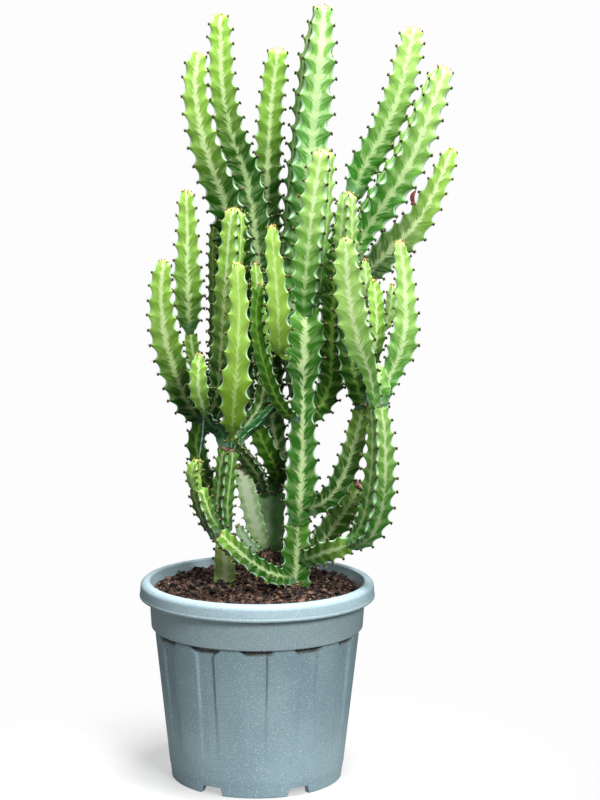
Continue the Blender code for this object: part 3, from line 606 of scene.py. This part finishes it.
# %% The skin's finish
def stem_skin(kind):
    band_paint, top, low = (paint(*colour) for colour in SKINS[kind][:3])
    band_width, veins = SKINS[kind][3:5]
    finish = Finish("skin_" + kind)
    side, rung, _ = finish.split(finish.wire(finish.add("ShaderNodeUVMap", {"uv_map": "ribs"})))
    facts = finish.add("ShaderNodeAttribute", {"attribute_name": "growth"})
    from_tip, from_foot, tone = finish.split(finish.wire(facts, "Vector"))
    x, y, _ = finish.split(finish.place())
    across = abs(side)
    aside = (x + y * 1.4) * 35.0 + tone * 7.0
    slant = rung - across * 0.95
    strokes = finish.noise(1.0, at=finish.join(across * 1.3, slant * 5.5, aside), detail=3.0,
                           roughness=0.65)
    fingers = finish.noise(1.0, at=finish.join(across * 1.1, slant * 2.4, aside + 5.0))
    hairs = finish.noise(1.0, at=finish.join(across * 2.4, slant * 15.0, aside + 2.0), detail=1.0)
    drift = finish.noise(1.0, at=finish.join(across * 0.3, rung * 0.45, aside + 9.0), detail=1.0)
    patches = finish.noise(45.0, detail=3.0)

    # where the skin lies within its tooth: the vein, then a fine pale line, then the green block
    block = (rung + 0.38 - across * 0.3 + (fingers - 0.5) * 0.35).fraction()
    below_line = block - (0.20 + across * 0.2)
    vein = below_line.between(0.03, -0.10)
    fine_line = (abs(below_line - 0.02)).between(0.045, 0.005)
    shade = below_line.between(0.0, 0.08) * below_line.between(0.78, 0.12)

    age = (from_tip + (patches - 0.5) * 0.05).between(0.02, 0.18)
    green = finish.mix(age, top, low)
    lighter = finish.mix(0.5, green, band_paint)
    darker = finish.mix(0.75, green, low)
    green = finish.mix(shade * (0.25 + 0.5 * veins), green, darker)
    green = finish.mix(strokes.between(0.48, 0.66) * (0.2 + 0.7 * veins), green, lighter)
    green = finish.mix(hairs.between(0.52, 0.36) * strokes.between(0.56, 0.4) * 0.5, green, darker)
    green = finish.mix(vein * (across.between(0.0, 0.6) * 0.6 + 0.25) * veins, green, band_paint)
    green = finish.mix(fine_line * across.between(0.7, 0.4) * 0.45 * veins, green, band_paint)
    width = band_width * (0.55 + drift)
    reach = 0.6 if kind == "column" else 0.3
    edge = (across + (strokes - 0.5) * 0.7 + (fingers - 0.5) * reach
            + (hairs - 0.5) * 0.55 + width)
    band = edge.between(0.90, 1.08) * from_foot.between(0.004, 0.032)
    pale = finish.mix(age * (0.12 if kind == "column" else 0.5), band_paint, green)
    colour = finish.mix(band * 0.92, green, pale)

    # the rib's edge: a pale margin with a painted highlight in the notches, a painted bluish
    # reflection on the shelf above each tooth, and a horny point
    step = rung.fraction()
    near_point = abs(step - 0.5) * 2.0
    # pale margin and painted highlight along the notches
    pale_rim_and_highlight = across.between(0.10, 0.02) * near_point.between(0.95, 0.6)
    colour = finish.mix(pale_rim_and_highlight * 0.7, colour, paint(204, 238, 206))
    # painted bluish reflection on the shelf above each tooth
    shelf_reflection = step.between(0.78, 0.94) * across.between(0.26, 0.06)
    colour = finish.mix(shelf_reflection * 0.3, colour, paint(150, 206, 150))
    horn_low = step.between(0.20, 0.04) * across.between(0.10, 0.05)
    horn_high = step.between(0.95, 0.98) * across.between(0.12, 0.06)
    colour = finish.mix(horn_low + horn_high, colour, paint(48, 26, 26))
    fresh = from_tip.between(0.010, 0.0) * across.between(0.6, 0.1) * patches.between(0.42, 0.6)
    colour = finish.mix(fresh * 0.6, colour, paint(222, 190, 120))

    bloom = from_foot.between(0.022, 0.004) * patches.between(0.42, 0.6)
    colour = finish.mix(bloom * 0.4, colour, paint(140, 182, 150))
    finish.set(base_color=colour, specular_ior_level=0.16,
               roughness=0.36 + 0.16 * patches + bloom * 0.2,
               normal=finish.bump(strokes * 0.5 + finish.noise(800.0) * 0.2, 0.0006, 0.6))
    return finish.material


skins = {kind: stem_skin(kind) for kind in SKINS}
print(len(skins), "skins")

# %% Grow every stem
def add_piece(name, mesh, material, slot, *nodes):
    mesh.materials.append(material)
    piece = bpy.data.objects.new(name, mesh)
    bpy.context.scene.collection.objects.link(piece)
    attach(piece, "root")
    if nodes:
        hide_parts(*nodes)
    return piece


all_teeth, tips = [], []
faces = 0
for number, growth in enumerate(GROWTHS):
    mesh, teeth, apex = skin_of(growth, number)
    replaced = () if growth.name in FORKS else (growth.name,)
    add_piece(growth.name + "_skin", mesh, skins[growth.skin], SKINS[growth.skin][5], *replaced)
    all_teeth += teeth
    tips.append(apex)
    faces += len(mesh.polygons)
print(len(all_teeth), "teeth on", faces, "faces")

# %% [markdown]
# ## Spines
# Each tooth ends in a dark horny pad with a pair of short spines, and often a tiny leaf. There are
# thousands, so one small cone and one small bead are shaped once, and copies of them are placed on
# the teeth with a matrix that is built from the rib's own directions.

# %% Copies of a small shape in one mesh
def template(make):
    bm = bmesh.new()
    make(bm)
    return to_mesh(bm, "template", False)


def scatter(name, shape, matrices, smooth=True):
    bm = bmesh.new()
    for matrix in matrices:
        copy = shape.copy()
        copy.transform(matrix)
        bm.from_mesh(copy)
        bpy.data.meshes.remove(copy)
    return to_mesh(bm, name, smooth)


def pose(place, x, y, z, sx, sy, sz):
    """A matrix whose axes are the three given directions, each with its own scale."""
    matrix = Matrix((Vector(x) * sx, Vector(y) * sy, Vector(z) * sz)).transposed().to_4x4()
    matrix.translation = Vector(place)
    return matrix


cone = template(lambda bm: bmesh.ops.create_cone(
    bm, cap_ends=True, cap_tris=True, segments=5, radius1=0.5, radius2=0.03, depth=1.0,
    matrix=Matrix.Translation((0, 0, 0.5))))
bead = template(lambda bm: bmesh.ops.create_icosphere(bm, subdivisions=1, radius=1.0))
print("a spine has", len(cone.polygons), "faces")

# %% Place spines, pads and leaves
TIP_BITS = 20       # buds and leaflets in the tuft on each fresh tip
rand = random.Random(5)
spine_old, spine_young, pads, leaves, buds = [], [], [], [], []


def spike(place, aim, along, wide, long):
    across = aim.cross(along).normalized()
    return pose(place - aim * 0.3 * MM, across, aim.cross(across), aim, wide, wide, long)


for place, out, along, over, size, gap, skin in all_teeth:
    place, out, along, over = Vector(place), Vector(out), Vector(along), Vector(over)
    size = min(1.15, 0.55 + 0.6 * size)
    if skin != "pale":
        pads.append(pose(place - along * 0.6 * MM - out * 0.2 * MM, over, along - 0.25 * out, out,
                         1.35 * MM * size, 2.1 * MM * size, 1.5 * MM * size))
    for sign in (-1, 1):
        aim = (out + sign * rand.uniform(0.35, 0.8) * over
               + rand.uniform(0.1, 0.7) * along).normalized()
        long = rand.uniform(2.6, 4.4) * MM * size * (0.7 if gap < 0.012 else 1.0)
        young = rand.random() < (0.95 if gap < 0.15 else 0.4)
        (spine_young if young else spine_old).append(spike(place, aim, along, 0.6 * MM, long))
    if rand.random() < (0.7 if gap < 0.12 else 0.15):
        aim = (out + rand.uniform(-0.4, 0.4) * over + rand.uniform(0.8, 1.8) * along).normalized()
        across = aim.cross(over).normalized()
        leaves.append(pose(place + along * 0.6 * MM, across, aim.cross(across), aim,
                           0.9 * MM, 1.6 * MM, rand.uniform(1.8, 3.2) * MM * size))

for (place, along, front, side), growth, radius in tips:
    if growth.name in JOINTED:
        continue
    place, along, front, side = (Vector(v[0]) for v in (place, along, front, side))
    for _ in range(TIP_BITS):
        angle, far = rand.uniform(0, math.tau), radius * rand.uniform(0.1, 1.0)
        out = math.cos(angle) * front + math.sin(angle) * side
        aim = (along * rand.uniform(0.6, 1.4) + out * rand.uniform(0.0, 1.0)).normalized()
        wide = rand.uniform(0.9, 1.7) * MM
        spot = place + out * far - along * (1.2 * MM + 0.25 * far)
        (buds if rand.random() < 0.5 else leaves).append(
            pose(spot, side, aim.cross(side), aim, wide, wide, rand.uniform(1.8, 3.6) * MM))
print(len(pads), "pads,", len(spine_old) + len(spine_young), "spines,",
      len(leaves) + len(buds), "leaves")

# %% Finishes of spines, pads and leaves
horn = two_tone("horn", 0.45, 400.0, 0.4, 0.7, (28, 16, 20), (74, 40, 34))
fresh = two_tone("fresh_spine", 0.45, 300.0, 0.4, 0.6, (190, 130, 116), (226, 196, 150))
leaf = two_tone("leaflet", 0.5, 260.0, 0.42, 0.6, (222, 216, 96), (190, 206, 110))
bud = two_tone("bud", 0.5, 350.0, 0.42, 0.6, (150, 40, 60), (214, 120, 110))
for name, shape, matrices, material, slot in (
        ("tooth_pads", bead, pads, horn, "stem_dark"),
        ("spines", cone, spine_old, horn, "stem_dark"),
        ("fresh_spines", cone, spine_young, fresh, "stem_young"),
        ("leaflets", cone, leaves, leaf, "stem_young"),
        ("buds", cone, buds, bud, "stem_young")):
    add_piece(name, scatter(name, shape, matrices), material, slot)

# %% [markdown]
# ## Scars, a dried leaf and a dry strip
# Where a stem was cut, or where one growth sits on another, the skin has healed into a rough brown
# disc. Each is a flattened ball, roughened with noise and set square to its stem.

# %% Scars
scar = Finish("scar", roughness=0.85)
crust = scar.noise(260.0, detail=4.0)
scar.set(base_color=scar.mix(crust.between(0.4, 0.62), paint(82, 50, 40), paint(186, 150, 128)),
         normal=scar.bump(crust, 0.0012, 1.0))
scar_bm = bmesh.new()
# how wide each scar is as a share of its tip's radius, and how thick in millimetres
SCARS = {"trunk_rear": (0.80, 3.0), "stub_right_cut": (0.74, 3.0), "stub_pale_cut": (0.66, 1.8),
         "arm_low_left": (0.64, 2.4), "shoot_low_centre": (0.66, 2.2), "arm_low_right": (0.62, 1.6),
         "riser_low_right": (0.7, 2.0), "arm_right": (0.7, 2.0)}
for (place, along, front, side), growth, radius in tips:
    if growth.name not in SCARS:
        continue
    share, thick = SCARS[growth.name]
    place, along, front, side = (Vector(v[0]) for v in (place, along, front, side))
    wide = share * growth.radii[-1] * MM
    matrix = pose(place - along * 0.8 * MM, front, side, along, wide, wide, thick * MM)
    made = bmesh.ops.create_icosphere(scar_bm, subdivisions=4, radius=1.0)["verts"]
    for vert in made:
        rough = 1.0 + 0.16 * noise.noise(vert.co * 2.3 + place * 90)
        rough = rough + 0.08 * noise.noise(vert.co * 7.0)
        vert.co = matrix @ (vert.co * rough)
add_piece("scars", to_mesh(scar_bm, "scars"), scar.material, "stem_waxy")
print(len(SCARS), "scars")


# %% A curled dry leaf and a dry strip
def at_plant(x, y, z):
    return Vector((x * CM, y * CM * PLANT_DEPTH, z * CM)) + Vector(PLANT_PLACE)


curl_bm = bmesh.new()
bmesh.ops.create_grid(curl_bm, x_segments=8, y_segments=16, size=1.0)
for vert in curl_bm.verts:
    x, y = vert.co.x, vert.co.y
    bend = 1.9 * x
    broad = 0.0026 * math.sqrt(max(0.02, 1 - y * y))
    curl = (broad * math.sin(bend) + 0.004 * y * y, -broad * math.cos(bend), 0.0085 * y)
    vert.co = at_plant(17.3, 2.6, 66.3) + Vector(curl)
bmesh.ops.solidify(curl_bm, geom=list(curl_bm.faces), thickness=0.0005)
bmesh.ops.recalc_face_normals(curl_bm, faces=curl_bm.faces)
dry = two_tone("dry_leaf", 0.6, 300.0, 0.35, 0.65, (96, 18, 34), (190, 104, 96))
add_piece("dry_leaf", to_mesh(curl_bm, "dry_leaf"), dry, "stem_waxy")

strip_bm = bmesh.new()
bmesh.ops.create_cone(strip_bm, cap_ends=True, segments=8, radius1=1.0, radius2=1.0, depth=1.0)
lengthwise = [e for e in strip_bm.edges if abs(e.verts[0].co.z - e.verts[1].co.z) > 0.5]
bmesh.ops.subdivide_edges(strip_bm, edges=lengthwise, cuts=14)
top, foot = at_plant(-6.15, -0.2, 42.8), at_plant(-6.6, 1.2, 35.7)
for vert in strip_bm.verts:
    down = 0.5 - vert.co.z
    thick = 0.9 * MM * math.sin(math.pi * min(0.97, max(0.03, down))) ** 0.5
    aside = (vert.co.x * thick + 0.0012 * math.sin(5 * down), vert.co.y * thick, 0.0)
    vert.co = top.lerp(foot, down) + Vector(aside)
bmesh.ops.recalc_face_normals(strip_bm, faces=strip_bm.faces)
strip = two_tone("dry_strip", 0.5, 260.0, 0.4, 0.6, (88, 140, 150), (166, 204, 204))
add_piece("dry_strip", to_mesh(strip_bm, "dry_strip"), strip, "stem_waxy")
print("the strip is", round((top - foot).length, 3), "metres long")

# %% [markdown]
# ## The pot
# A nursery pot is moulded in one piece: a turned wall with shallow flutes, a stepped collar, a rim
# with a turned-down skirt, and notches in its foot. The profile is spun round the axis, and the
# flutes and notches are then pressed into the spun wall by moving its points, which keeps their
# edges as soft as the real moulding's.

# %% The pot's profile
RIM, TOP_Z, WALL = 0.135, 0.229, 0.0022
COLLAR_TOP, COLLAR_LOW, COLLAR_Z = 0.1245, 0.1215, 0.175
WALL_TOP, WALL_LOW, FLOOR_Z = 0.118, 0.100, 0.010
FOOT, FOOT_RING, CENTRE_FOOT = 0.0985, 0.007, 0.044
FLUTE_DEPTH, FLUTE_Z, POCKET = 0.0044, 0.036, 0.0032
FLUTE_TURN, NOTCH_TURN, FIRST_NOTCH = 30.0, 60.0, 28.5      # degrees round the pot
NOTCH_HALF, NOTCH_TOP = 0.0145, 0.0095


def wall_radius(height):
    return WALL_LOW + (WALL_TOP - WALL_LOW) * (height - FLOOR_Z) / (COLLAR_Z - FLOOR_Z)


def rounded(points, radius, steps=3):
    """Cuts each corner of a line of points with a short curve."""
    made = [points[0]]
    for before, corner, after in zip(points, points[1:], points[2:]):
        corner = Vector(corner)
        back, ahead = Vector(before) - corner, Vector(after) - corner
        cut = min(radius, 0.45 * back.length, 0.45 * ahead.length)
        a, b = corner + back.normalized() * cut, corner + ahead.normalized() * cut
        for i in range(steps + 1):
            t = i / steps
            made.append(tuple((1 - t) ** 2 * a + 2 * t * (1 - t) * corner + t * t * b))
    return made + [points[-1]]


def stretch(low, high, count):
    """Points down the wall, close enough for the flutes' curves."""
    heights = [*np.linspace(high, high - 0.014, 14), *np.linspace(high - 0.018, low, count)]
    return [(wall_radius(z), z) for z in heights]


inside = [(0.0, 0.0130), (0.090, 0.0130), (0.110, 0.1780), (0.1185, 0.200), (0.1200, 0.2150),
          (COLLAR_TOP - WALL, TOP_Z - 0.004)]
rim_line = [
    (COLLAR_TOP - WALL + 0.0006, TOP_Z - 0.0002), (RIM - 0.0050, TOP_Z - 0.0004),
    (RIM - 0.0012, TOP_Z - 0.0042), (RIM - 0.0006, 0.2140), (RIM, 0.2128), (RIM, 0.2108),
    (RIM - 0.0012, 0.2102),
    (RIM - 0.0034, 0.2102), (RIM - 0.0036, TOP_Z - 0.0050), (COLLAR_TOP, TOP_Z - 0.0042),
    (COLLAR_LOW, COLLAR_Z + 0.0010), (COLLAR_LOW - 0.0010, COLLAR_Z),
    (WALL_TOP + 0.0010, COLLAR_Z - 0.0008)]
foot_line = [(WALL_LOW, FLOOR_Z + 0.004), (FOOT + 0.0006, FLOOR_Z - 0.003), (FOOT, 0.0),
             (FOOT - FOOT_RING, 0.0), (FOOT - FOOT_RING - 0.0008, FLOOR_Z),
             (CENTRE_FOOT + 0.002, FLOOR_Z), (CENTRE_FOOT, 0.0), (0.0, 0.0)]
profile = (rounded(inside + rim_line, 0.0022)[:-1] + stretch(0.016, COLLAR_Z - 0.0014, 34)
           + rounded(foot_line, 0.001))
print("the profile has", len(profile), "points")


# %% Spin the profile and press in the flutes and notches
def spin_profile(points, steps):
    bm = bmesh.new()
    verts = [bm.verts.new((radius, 0.0, height)) for radius, height in points]
    edges = [bm.edges.new(pair) for pair in zip(verts, verts[1:])]
    bmesh.ops.spin(bm, geom=verts + edges, cent=(0, 0, 0), axis=(0, 0, 1), angle=math.tau,
                   steps=steps, use_merge=True)
    bmesh.ops.remove_doubles(bm, verts=bm.verts, dist=0.00001)
    bmesh.ops.recalc_face_normals(bm, faces=bm.faces)
    return bm


def smooth_step(value, low, high):
    t = min(1.0, max(0.0, (value - low) / (high - low)))
    return t * t * (3 - 2 * t)


def press_flute(co):
    """How far the wall is pushed in at a point, and how much dust and painted shade lie there."""
    angle = math.degrees(math.atan2(co.y, co.x)) + 90.0
    off = abs((angle + FLUTE_TURN / 2) % FLUTE_TURN - FLUTE_TURN / 2)
    share = (co.z - FLUTE_Z) / (COLLAR_Z - FLUTE_Z)
    if share <= 0 or co.z > COLLAR_Z - 0.0005:
        return 0.0, 0.0
    flare = smooth_step(co.z, 0.1660, 0.1725)
    inside = 1 - smooth_step(off, 4.9 + 3.2 * flare, 6.1 + 3.2 * flare)
    # painted shade, with some dust, in the pocket at the top of each flute under the collar
    dust_and_shade_here = smooth_step(co.z, 0.1655, 0.1685) * inside
    return (FLUTE_DEPTH * share ** 0.8 + POCKET * flare) * inside, dust_and_shade_here


def notch_top(co):
    angle = math.degrees(math.atan2(co.y, co.x)) + 90.0
    turn = (angle % NOTCH_TURN) - FIRST_NOTCH
    if abs(turn) > 12.0:
        return 0.0
    across = turn * math.pi / 180 * FOOT
    inner = 0.004 if turn < 0 else 0.0006
    edge = NOTCH_HALF - abs(across)
    return NOTCH_TOP * min(1.0, max(0.0, edge / inner))


pot_bm = spin_profile(profile, 360)
dust_and_shade = pot_bm.verts.layers.float.new("dust_and_shade")
for vert in pot_bm.verts:
    co = vert.co
    radius = math.hypot(co.x, co.y)
    if radius > 0.09 and co.z < COLLAR_Z:
        depth, vert[dust_and_shade] = press_flute(co)
        if depth:
            vert.co = Vector((co.x * (1 - depth / radius), co.y * (1 - depth / radius), co.z))
        # a thin painted shadow just under the collar's step
        if co.z > 0.170:
            vert[dust_and_shade] = max(vert[dust_and_shade], 0.7 * smooth_step(co.z, 0.1715, 0.1735))
    # painted shade inside the rim's turned-down skirt
    elif 0.2075 < co.z < 0.2125 and radius < RIM - 0.003:
        vert[dust_and_shade] = 0.6
    if radius > FOOT - FOOT_RING - 0.002 and co.z < NOTCH_TOP:
        co.z = max(co.z, notch_top(co))
pot_mesh = to_mesh(pot_bm, "pot_body")
pot_mesh.set_sharp_from_angle(angle=math.radians(50))
print("the pot has", len(pot_mesh.polygons), "faces")

# %% Speckled plastic
plastic = Finish("speckled_plastic")
cloud = plastic.noise(14.0, detail=3.0)
base = plastic.mix(cloud.between(0.35, 0.7), paint(132, 160, 170), paint(147, 174, 183))
dust_and_shade_mask = plastic.wire(plastic.add("ShaderNodeAttribute", {"attribute_name": "dust_and_shade"}), "Fac")
# painted shade with some dust: dark brown in the flute pockets, under the collar and under the rim
base = plastic.mix(dust_and_shade_mask * (0.6 + 0.6 * cloud), base, paint(80, 74, 66))
height = plastic.split(plastic.place())[2]
# painted light: the collar is painted lighter, standing in for light that the rim's overhang keeps
# off it
base = plastic.mix(height.between(0.1745, 0.1765) * 0.45, base, paint(176, 196, 200))
# painted highlight: the rim's skirt and top are painted lighter and bluer, as light from above
# falls on them
base = plastic.mix(height.between(0.2125, 0.2165) * (0.4 + 0.4 * cloud), base, paint(172, 198, 210))
near_light, pick_light = plastic.cells(760.0)
near_fine, pick_fine = plastic.cells(1300.0)
near_blue, pick_blue = plastic.cells(800.0, plastic.place(0.31))
light = near_light.between(0.42, 0.20) * pick_light.between(0.66, 0.9)
fine_light = near_fine.between(0.5, 0.2) * pick_fine.between(0.35, 0.75)
blue = near_blue.between(0.5, 0.25) * pick_blue.between(0.45, 0.8)
base = plastic.mix(blue * 0.5, base, paint(96, 128, 144))
base = plastic.mix(fine_light * 0.7, base, paint(192, 208, 210))
base = plastic.mix(light * 0.9, base, paint(228, 236, 234))
plastic.set(base_color=base, specular_ior_level=0.4, roughness=0.46 + 0.12 * cloud,
            normal=plastic.bump(plastic.noise(700.0) * 0.6 + light, 0.00025, 0.35))
add_piece("pot_body", pot_mesh, plastic.material, "pot_plastic", "pot")

# %% [markdown]
# ## The soil
# The peat is a low mound of crumbs. A square grid is bent into a disc, heaped with noise from
# mathutils, and strewn with bark, fibres and white perlite.

# %% The mound
SOIL_EDGE, SOIL_CENTRE, SOIL_RADIUS = 0.2150, 0.2175, 0.1198
TRUNKS = [(0.043, 0.0104), (0.010, 0.058), (-0.036, 0.0104)]


def soil_height(x, y):
    radius = math.hypot(x, y)
    height = SOIL_CENTRE - (SOIL_CENTRE - SOIL_EDGE) * (radius / SOIL_RADIUS) ** 2
    height += 0.0035 * smooth_step(y, -0.05, 0.08)
    spot = Vector((x, y, 0.0))
    height += 0.0045 * noise.noise(spot * 28) + 0.0042 * noise.noise(spot * 80)
    height += 0.0034 * noise.noise(spot * 190) + 0.0018 * noise.noise(spot * 420)
    for trunk in TRUNKS:
        height += 0.004 * math.exp(-((math.hypot(x - trunk[0], y - trunk[1]) / 0.03) ** 2))
    return height - 0.002 * smooth_step(radius, 0.11, SOIL_RADIUS)


soil_bm = bmesh.new()
bmesh.ops.create_grid(soil_bm, x_segments=150, y_segments=150, size=1.0)
for vert in soil_bm.verts:
    x, y = vert.co.x, vert.co.y
    disc = Vector((x * math.sqrt(1 - y * y / 2), y * math.sqrt(1 - x * x / 2), 0.0)) * SOIL_RADIUS
    vert.co = (disc.x, disc.y, soil_height(disc.x, disc.y))
rim_edges = [edge for edge in soil_bm.edges if edge.is_boundary]
walls = bmesh.ops.extrude_edge_only(soil_bm, edges=rim_edges)["geom"]
lowered = [item for item in walls if isinstance(item, bmesh.types.BMVert)]
bmesh.ops.translate(soil_bm, verts=lowered, vec=(0, 0, -0.012))
ring = [item for item in walls if isinstance(item, bmesh.types.BMEdge)]
bmesh.ops.contextual_create(soil_bm, geom=ring)
bmesh.ops.recalc_face_normals(soil_bm, faces=soil_bm.faces)
soil_mesh = to_mesh(soil_bm, "soil_mound")

# %% Peat, bark, fibre and perlite finishes
peat = Finish("peat", roughness=0.95)
crumbs = peat.noise(200.0, detail=4.0, roughness=0.7)
broad = peat.noise(60.0)
grit = peat.noise(900.0)
soil_colour = peat.mix(crumbs.between(0.42, 0.66), paint(8, 5, 5), paint(114, 82, 66))
soil_colour = peat.mix(broad.between(0.5, 0.75) * 0.5, soil_colour, paint(40, 24, 20))
soil_colour = peat.mix(grit.between(0.60, 0.68) * 0.75, soil_colour, paint(150, 126, 104))
peat.set(base_color=soil_colour, normal=peat.bump(crumbs, 0.0016, 1.0))
add_piece("soil_mound", soil_mesh, peat.material, "peat", "soil")
bark = two_tone("bark", 0.9, 130.0, 0.46, 0.66, (14, 8, 7), (132, 98, 80), 0.0006)
fibre = two_tone("fibre", 0.9, 300.0, 0.35, 0.65, (130, 100, 70), (206, 176, 138), 0.0006)
perlite = two_tone("perlite", 0.8, 500.0, 0.35, 0.65, (206, 200, 190), (250, 248, 244), 0.0006)

# %% Strew crumbs over the mound
shard = template(lambda bm: bmesh.ops.create_cube(bm, size=2.0))


def strewn(count, small, big, flat, seed, sink=0.3):
    rand = random.Random(seed)
    made = []
    while len(made) < count:
        radius = (SOIL_RADIUS - 0.004) * math.sqrt(rand.random())
        angle = rand.uniform(0, math.tau)
        x, y = radius * math.cos(angle), radius * math.sin(angle)
        size = small + (big - small) * rand.random() ** 2.2
        long, wide = size * rand.uniform(0.7, 1.5), size * rand.uniform(0.5, 1.0)
        shape = Matrix.Diagonal((long, wide, size * flat, 1.0))
        turn = Matrix.Rotation(rand.uniform(-0.7, 0.7), 4, "X")
        turn = turn @ Matrix.Rotation(rand.uniform(-0.7, 0.7), 4, "Y")
        spin = Matrix.Rotation(rand.uniform(0, math.tau), 4, "Z")
        height = soil_height(x, y) + size * sink * rand.uniform(0.2, 1.4)
        made.append(Matrix.Translation((x, y, height)) @ spin @ turn @ shape)
    return made


for name, shape, places, material, smooth in (
        ("peat_crumbs", bead, strewn(2200, 0.0009, 0.0034, 0.7, 1), peat.material, True),
        ("bark_chips", shard, strewn(900, 0.0012, 0.0058, 0.3, 2, 0.6), bark, False),
        ("fibres", shard, strewn(420, 0.0004, 0.0013, 0.4, 3, 1.0), fibre, False),
        ("perlite_bits", bead, strewn(160, 0.0005, 0.0014, 0.8, 4, 1.0), perlite, True)):
    add_piece(name, scatter(name, shape, places, smooth), material, "peat")
print("the soil is strewn")

# %% The peat plug
PLUG_CENTRE, PLUG_SIZE = Vector((0.012, 0.030, 0.225)), (0.017, 0.014, 0.032)
plug_bm = bmesh.new()
bmesh.ops.create_icosphere(plug_bm, subdivisions=5, radius=1.0)
for vert in plug_bm.verts:
    direction = vert.co.normalized()
    rough = 1.0 + 0.10 * noise.noise(direction * 3.1) + 0.09 * noise.noise(direction * 9.0)
    rough = rough + 0.05 * noise.noise(direction * 24)
    lump = Vector([size * part for size, part in zip(PLUG_SIZE, direction)])
    vert.co = PLUG_CENTRE + lump * rough
add_piece("peat_lump", to_mesh(plug_bm, "peat_lump"), peat.material, "plug_peat", "peat_plug")

# %% [markdown]
# ## The studio
# A pale floor that fades out, a white surround and four large soft lamps. The camera stands at the
# height of the upper stems and looks a little down.

# %% Floor
floor_bm = bmesh.new()
bmesh.ops.create_grid(floor_bm, x_segments=1, y_segments=1, size=0.8)
floor_mesh = to_mesh(floor_bm, "floor", False)
pale_floor = Finish("pale_floor", base_color=(0.82, 0.82, 0.82), roughness=0.9)
x, y, _ = pale_floor.split(pale_floor.place())
pale_floor.set(alpha=(x * x + y * y).math("SQRT").between(0.40, 0.12) * 0.5)
floor_mesh.materials.append(pale_floor.material)
floor = bpy.data.objects.new("floor", floor_mesh)
bpy.context.scene.collection.objects.link(floor)

# %% Lamps and surround
def lamp(name, place, aim, size, power):
    light = bpy.data.lights.new(name, "AREA")
    light.shape = "DISK"
    light.size = size
    light.energy = power
    obj = bpy.data.objects.new(name, light)
    obj.location = place
    obj.rotation_mode = "QUATERNION"
    obj.rotation_quaternion = (Vector(aim) - Vector(place)).to_track_quat("-Z", "Y")
    bpy.context.scene.collection.objects.link(obj)


lamp("key", (0.98, -2.15, 1.5), (0.0, 0.0, 0.45), 0.8, 52)
lamp("top", (0.25, -0.3, 2.1), (0.0, 0.0, 0.5), 0.9, 70)
lamp("back", (-0.3, 1.7, 1.9), (0.0, 0.0, 0.6), 1.2, 14)
lamp("fill", (-1.7, -1.5, 0.5), (0.0, 0.0, 0.12), 1.0, 6)
world = bpy.data.worlds.new("surround")
world.use_nodes = True
nodes, links = world.node_tree.nodes, world.node_tree.links
glow = nodes["Background"]
glow.inputs["Color"].default_value = (1, 1, 1, 1)
glow.inputs["Strength"].default_value = 0.09
seen = nodes.new("ShaderNodeBackground")
seen.inputs["Color"].default_value = (1, 1, 1, 1)
seen.inputs["Strength"].default_value = 0.98
choose, ray = nodes.new("ShaderNodeMixShader"), nodes.new("ShaderNodeLightPath")
links.new(ray.outputs["Is Camera Ray"], choose.inputs["Fac"])
links.new(glow.outputs[0], choose.inputs[1])
links.new(seen.outputs[0], choose.inputs[2])
links.new(choose.outputs[0], nodes["World Output"].inputs["Surface"])
bpy.context.scene.world = world
bpy.context.scene.view_settings.view_transform = "Standard"

# %% Camera
CAMERA_PLACE = Vector((0.0, -2.43, 0.7831))
PAN, TILT, ROLL = math.radians(-1.126), math.radians(90.0 - 8.117), math.radians(0.33)
LENS = 97.33        # in millimetres, before a sensor 36 mm wide
camera = bpy.data.objects.new("camera", bpy.data.cameras.new("camera"))
camera.data.lens = LENS
camera.data.sensor_width = 36.0
turn = Matrix.Rotation(PAN, 4, "Z") @ Matrix.Rotation(TILT, 4, "X") @ Matrix.Rotation(ROLL, 4, "Z")
camera.matrix_world = Matrix.Translation(CAMERA_PLACE) @ turn
bpy.context.scene.collection.objects.link(camera)
bpy.context.scene.camera = camera
